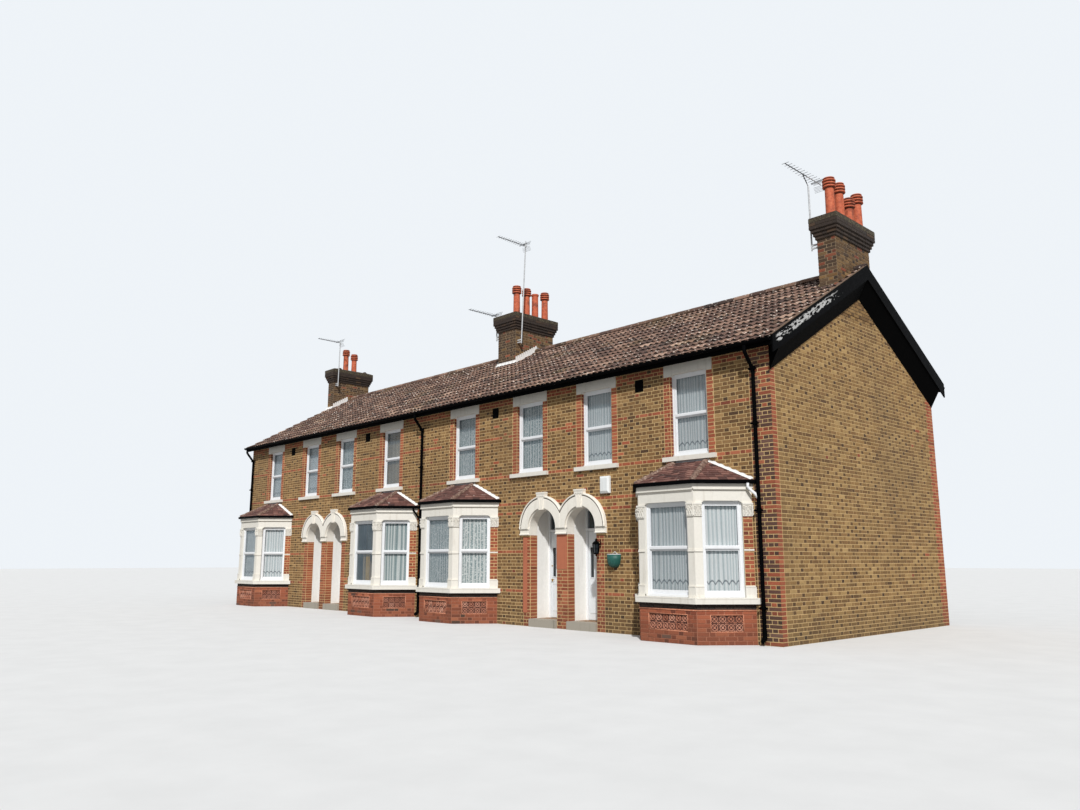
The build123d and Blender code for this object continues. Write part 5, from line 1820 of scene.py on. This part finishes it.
# %% [markdown]
# ## Gutters and pipes
# The black gutter hangs on brackets about 0.8 m apart and its lengths are joined by unions. Pipes have a
# socket at each joint and two ears that hold them to the wall.

# %% Gutters and pipes
iron = Heap()
BRACKETS, BRACKET_GAP = 27, 0.815
UNIONS, UNION_GAP = 6, 3.4


def half_ring(heap, x, y, z, radius, wide, thick):
    """A half-round strap below a gutter."""
    loops = []
    for reach, at_x in ((radius, x - wide / 2), (radius + thick, x - wide / 2),
                        (radius + thick, x + wide / 2), (radius, x + wide / 2)):
        loops.append([(at_x, y + reach * cos(a), z - reach * sin(a)) for a in half_turn(10)])
    heap.grid(loops + loops[:1])


for side, edge_y in ((-1, -EAVES), (1, EAVES)):
    gutter_y = edge_y + side * 0.058
    gutter_z = RIDGE - tan(PITCH) * (EAVES - side * RIDGE_Y) - 0.060
    for i in range(BRACKETS):
        half_ring(iron, -ROW_END + 0.2 + i * BRACKET_GAP, gutter_y, gutter_z + 0.004, 0.058, 0.026, 0.004)
    for i in range(UNIONS):
        half_ring(iron, -ROW_END + 2.0 + i * UNION_GAP, gutter_y, gutter_z + 0.004, 0.058, 0.090, 0.005)
FRONT_PIPES = [ROW_END - 0.318, -0.110, -ROW_END + 0.160]
REAR_PIPES = [ROW_END - 0.318, 0.0, -ROW_END + 0.318]
for pipes, wall, side in ((FRONT_PIPES, FACE, -1), (REAR_PIPES, BACK, 1)):
    for x in pipes:
        y = wall + side * 0.055
        for z in (0.62, 2.35, 3.95, 4.98):
            iron.turned(stand_at(x, y, z), [(0.036, 0.0), (0.044, 0.004), (0.044, 0.062), (0.047, 0.066),
                                            (0.047, 0.078), (0.036, 0.080)], 18)
            for ear in (-1, 1):
                iron.box(stand_at(x, y, z), (ear * 0.040, ear * 0.072), (-0.012 * side, side * 0.055),
                         (0.012, 0.048))
        low = stand_at(x, y, 0)
        iron.turned(low, [(0.036, 0.262), (0.046, 0.258), (0.046, 0.236), (0.041, 0.232), (0.041, 0.120),
                          (0.030, 0.118)], 18)
        iron.rod([(x, y, 0.20), (x, y, 0.15), (x, y + side * 0.03, 0.11), (x, y + side * 0.09, 0.075)],
                 0.040, 12)
iron.piece("gutter_and_pipe_fittings", black_plastic, "black_plastic")

# %% [markdown]
# ## Swan necks
# From three of the bays a bent pipe leads to the downpipe beside it. The near one is white.

# %% Swan necks
bay_pipes = Heap()
for x, turn, foot_x in ((BAYS[1], -1, FRONT_PIPES[1]), (BAYS[2], 1, FRONT_PIPES[1])):
    start = x + turn * 1.37
    bay_pipes.rod([(start, FACE - 0.13, 2.885), (start, FACE - 0.13, 2.82),
                   (start + turn * 0.03, FACE - 0.10, 2.77), (foot_x - turn * 0.06, FACE - 0.06, 2.62),
                   (foot_x - turn * 0.02, FACE - 0.056, 2.56)], 0.026, 10)
bay_pipes.piece("bay_swan_necks", black_plastic, "black_plastic", smooth=True)
white_neck = Heap()
start = BAYS[0] + 1.37
white_neck.rod([(start, FACE - 0.13, 2.885), (start, FACE - 0.13, 2.82), (start + 0.03, FACE - 0.11, 2.77),
                (FRONT_PIPES[0] - 0.05, FACE - 0.075, 2.68), (FRONT_PIPES[0] - 0.01, FACE - 0.06, 2.60)],
                0.028, 10)
white_neck.piece("white_swan_neck", white_paint, "white_box", smooth=True)

# %% [markdown]
# ## Lead flashings
# A flashing follows what it seals: the wave of the tiles in front of a stack, the slope in steps beside it,
# and the slanted edge of a bay roof on the wall.

# %% Lead flashings
flashing, painted_flashing = Heap(), Heap()


def slope_z(y):
    """The height of the roof plane over a line across it."""
    return RIDGE - tan(PITCH) * abs(RIDGE_Y - y)


for x0, x1, steps_seen in ((-STACK_HALF, STACK_HALF, 11), (-ROW_END, -ROW_END + STACK_END, 8)):
    place = on_slope(-1)
    up = (EAVES + STACK_FRONT) / cos(PITCH)
    left, wide = x0 - 0.03, x1 - x0 + 0.10
    rows = []
    for down, out in ((0.0, 0.055), (0.03, 0.014), (0.085, 0.010), (0.100, 0.000)):
        rows.append([place(left + wide * k / 14, up - down,
                           out + 0.010 * cos(2 * pi * (left + wide * k / 14 + ROW_END) / ROLL))
                     for k in range(15)])
    painted_flashing.grid(rows)
    painted_flashing.box(row_place, (x0, x1), (STACK_FRONT - 0.006, STACK_FRONT + 0.01),
                         (slope_z(STACK_FRONT) - 0.04, slope_z(STACK_FRONT) + 0.060))
    for i in range(steps_seen):
        y0 = STACK_FRONT + (RIDGE_Y - STACK_FRONT) * i / 11
        y1 = STACK_FRONT + (RIDGE_Y - STACK_FRONT) * (i + 1) / 11
        z = slope_z(y1)
        painted_flashing.box(row_place, (x1, x1 + 0.008), (y0 - 0.002, y1 - 0.012), (z - 0.10, z + 0.120))
        painted_flashing.box(row_place, (x1, x1 + 0.006), (y0, y1), (z - 0.14, z + 0.045))
        back_y0, back_y1 = 2 * RIDGE_Y - y1, 2 * RIDGE_Y - y0
        flashing.box(row_place, (x1, x1 + 0.006), (back_y0, back_y1 + 0.002), (z - 0.10, z + 0.085))
        if x0 > -1:
            flashing.box(row_place, (x0 - 0.006, x0), (y0 - 0.002, y1), (z - 0.10, z + 0.085))
            flashing.box(row_place, (x0 - 0.006, x0), (back_y0, back_y1 + 0.002), (z - 0.10, z + 0.085))
painted_flashing.piece("painted_flashings", white_lead, "grey_steel", bevel=0.002)

# %% [markdown]
# ## Fillet and bay strips
# The near stack has a rough mortar fillet on its inner side. Painted strips run up the sides of each bay
# roof, a little wavy from many repairs.

# %% Fillet and bay strips
fillet = Heap()
for i in range(22):
    y0, y1 = (STACK_FRONT + (STACK_BACK - STACK_FRONT) * k / 22 for k in (i, i + 1))
    x = ROW_END - STACK_END
    fillet.loft([[(x, y, slope_z(y) - 0.03), (x, y, slope_z(y) + 0.035 + dice.uniform(-0.004, 0.004)),
                  (x - 0.035 - dice.uniform(0, 0.006), y, slope_z(y) - 0.004)] for y in (y0, y1)])
fillet.piece("stack_mortar_fillet", stack_mortar, "plaster")
wall_strips = Heap()
for x in BAYS:
    for side in (-1, 1):
        low = Vector((x + side * WALL_HALF, FACE, BAY_EAVES))
        high = Vector((x + side * TOP_HALF, FACE, BAY_TOP))
        strip = []
        for k in range(25):
            point = low.lerp(high, k / 24)
            rise = 0.046 + 0.010 * sin(k * 1.7)
            strip.append([(point.x, FACE - 0.008, point.z + rise), (point.x, FACE - 0.010, point.z + 0.02),
                          (point.x - side * 0.012, FACE - 0.030, point.z + 0.026),
                          (point.x - side * 0.018, FACE - 0.074 - 0.010 * sin(k * 2.1), point.z + 0.006)])
        wall_strips.grid(strip)
    flashing.box(row_place, (x - TOP_HALF - 0.03, x + TOP_HALF + 0.03), (FACE - 0.012, FACE),
                 (BAY_TOP - 0.02, BAY_TOP + 0.035))
flashing.piece("lead_flashings", lead, "grey_steel", bevel=0.001)
wall_strips.piece("bay_roof_flashings", white_lead, "grey_steel")

# %% [markdown]
# ## Aerial elements
# Each boom carries twelve short rods that get wider to the back, a folded dipole and a two-leaved reflector.

# %% Aerial elements
metal_rods = Heap()
AERIAL_Y = STACK_FRONT + 0.080
BOOMS = [(ROW_END - STACK_END - 0.165, NECK + 1.565, 0.960, 0.590),
         (STACK_HALF + 0.165 + 0.155, NECK + 2.550, 1.095, 0.060),
         (-STACK_HALF - 0.165, NECK + 0.590, 1.100, 0.060),
         (-ROW_END + STACK_END + 0.165 + 0.040, NECK + 1.540, 0.950, 0.060)]
for x, z, to_front, to_back in BOOMS:
    start, end = AERIAL_Y - to_front, AERIAL_Y + to_back
    for k in range(12):
        y = start + 0.02 + (end - start - 0.20) * k / 11
        reach = 0.085 + 0.006 * k
        metal_rods.rod([(x - reach, y, z + 0.014), (x + reach, y, z + 0.014)], 0.0045, 6)
    dipole = end - 0.14
    for rise in (0.0, 0.028):
        metal_rods.rod([(x - 0.16, dipole, z + 0.014 + rise), (x + 0.16, dipole, z + 0.014 + rise)], 0.006, 6)
    for k in range(5):
        for tilt in (-1, 1):
            metal_rods.rod([(x - 0.17, end - 0.02 + 0.012 * k, z + tilt * (0.03 + 0.028 * k)),
                            (x + 0.17, end - 0.02 + 0.012 * k, z + tilt * (0.03 + 0.028 * k))], 0.0035, 6)
metal_rods.piece("aerial_elements", steel, "grey_steel", smooth=True)

# %% [markdown]
# ## Vents
# The air vents are dark iron grilles of thin slats in a flat rim.

# %% Vents
grilles = Heap()
for x in VENTS:
    at = stand_at(x, FACE)
    framed(grilles, at, -0.1075, 0.1075, VENT_LOW, VENT_HIGH, 0.014, 0.018)
    for k in range(9):
        z = 5.000 + k * 0.0245
        slat = ((-0.0145, z), (-0.0185, z), (-0.0165, z + 0.015), (-0.0140, z + 0.015))
        grilles.loft([[at(u, d, h) for d, h in slat] for u in (-0.095, 0.095)])
grilles.piece("vent_grilles", dark_iron, "terracotta")

# %% [markdown]
# ## Alarm box
# A plain white shell with sloped sides and no marks.

# %% Alarm box
shell = Heap()
alarm = stand_at(HOUSE + 1.350, FACE)
loops = []
for half, low, high, depth in ((0.135, 2.900, 3.270, 0.0), (0.135, 2.900, 3.270, -0.052),
                               (0.128, 2.908, 3.262, -0.064), (0.094, 2.950, 3.225, -0.090)):
    loops.append([alarm(-half, depth, low), alarm(half, depth, low), alarm(half, depth, high),
                  alarm(-half, depth, high)])
shell.loft(loops)
shell.box(alarm, (-0.050, 0.050), (-0.066, -0.050), (2.912, 2.936))
shell.piece("alarm_shell", box_plastic, "white_box", replaces=["alarm_box"], bevel=0.006)

# %% [markdown]
# ## Lantern
# The six-sided lantern hangs from its arm, with six bars, a pointed roof and dark glass.

# %% Lantern
lamp, lamp_panes = Heap(), Heap()
lamp_x, lamp_y, lamp_z = HOUSE + 1.170, FACE - 0.150, 1.567
at = stand_at(lamp_x, lamp_y, lamp_z)
lamp.turned(at, [(0.002, 0.0), (0.014, 0.012), (0.020, 0.026), (0.010, 0.040), (0.052, 0.050),
                 (0.058, 0.062), (0.058, 0.070), (0.002, 0.070)], 6)
lamp.turned(at, [(0.002, 0.262), (0.088, 0.258), (0.090, 0.270), (0.060, 0.305), (0.024, 0.330),
                 (0.022, 0.345), (0.030, 0.352), (0.014, 0.366), (0.008, 0.380), (0.002, 0.380)], 6)
for k in range(6):
    a = pi * k / 3
    lamp.rod([at(*round_at(0.055, a), 0.066), at(*round_at(0.080, a), 0.262)], 0.006, 6)
    lamp.rod([at(*round_at(0.067, a), 0.165),
              at(0.067 * cos(a + pi / 3), 0.067 * sin(a + pi / 3), 0.165)], 0.003, 6)
lamp_panes.turned(at, [(0.050, 0.070), (0.074, 0.260)], 6)
lamp.rod([at(0, 0, 0.375), at(0, 0.02, 0.372), at(0, 0.07, 0.330), at(0, 0.15, 0.290)], 0.008, 8)
lamp.rod([at(0, 0.145, 0.190), at(0, 0.145, 0.360)], 0.010, 8)
lamp.rod([at(0, 0.140, 0.210), at(0, 0.080, 0.240), at(0, 0.060, 0.300), at(0, 0.085, 0.320)], 0.006, 8)
lamp.piece("lantern_frame", dark_iron, "black_paint", replaces=["porch_lantern"], bevel=0.001)
lamp_panes.piece("lantern_panes", dark_glass, "clear_glass", replaces=["porch_lantern"])

# %% [markdown]
# ## Basket
# Half a bowl of green plastic with ribs and a pale rim.

# %% Basket
bowl, rim = Heap(), Heap()
BASKET_GAP = HOUSE - BAY_OFFSET - BAY_HALF - IMPOST_HALF
basket = stand_at(HOUSE + IMPOST_HALF + BASKET_GAP / 4, FACE, 1.335)


def facing_out(a, b, h):
    """The basket's places with Y turned out of the wall."""
    return basket(a, -b, h)


reach = BASKET_GAP / 5
bowl.turned(facing_out, [(0.010, 0.004), (0.060, 0.006), (0.110, 0.030), (0.148, 0.090), (0.162, 0.170),
                         (reach - 0.004, 0.270), (reach - 0.012, 0.270), (0.152, 0.170), (0.138, 0.095),
                         (0.100, 0.040), (0.010, 0.016)], 28, share=0.5)
for k in range(9):
    a = pi * (k + 0.5) / 9
    bowl.rod([facing_out(*round_at(r, a), h) for r, h in
              ((0.062, 0.006), (0.112, 0.030), (0.150, 0.090), (0.164, 0.170), (reach - 0.002, 0.270))],
              0.003, 6)
rim.rod([facing_out(*round_at(reach - 0.008, a), 0.276) for a in half_turn(24)], 0.008, 8)
rim.rod([facing_out(-reach + 0.006, 0.006, 0.276), facing_out(reach - 0.006, 0.006, 0.276)], 0.007, 8)
for start, end in ((-0.075, 0.0), (0.075, 0.0)):
    rim.rod([facing_out(start, 0.006, 0.276), facing_out(end, 0.006, 0.3355)], 0.0055, 8)
bowl.piece("basket_bowl", basket_green, "green_wire", replaces=["wall_basket"], smooth=True)
rim.piece("basket_rim", white_paint, "green_wire", replaces=["wall_basket"], smooth=True)

# %% [markdown]
# ## Floor and its finish
# The floor belongs to the stage and not to the houses. What the camera and mirrors see of it is pale, and
# the light that it throws back on the walls is dimmer, so that ledges stay dark below.

# %% Floor and its finish
floor_mesh = bpy.data.meshes.new("floor")
floor_mesh.from_pydata([(-150, -150, 0), (150, -150, 0), (150, 150, 0), (-150, 150, 0)], [], [(0, 1, 2, 3)])
floor = set_out("floor", floor_mesh)
paving = Finish("pale_floor", 0.9)
seen = paving.node("LightPath")
direct = paving.maths("MAXIMUM", seen.outputs["Is Camera Ray"], seen.outputs["Is Glossy Ray"])
pale = paving.ramp(paving.noise(1.5, 3), (0.3, (0.74, 0.74, 0.73, 1)), (0.7, (0.78, 0.78, 0.77, 1)))
paving.colour(paving.mix(direct, (0.26, 0.26, 0.255, 1), pale))
floor_mesh.materials.append(paving.material)
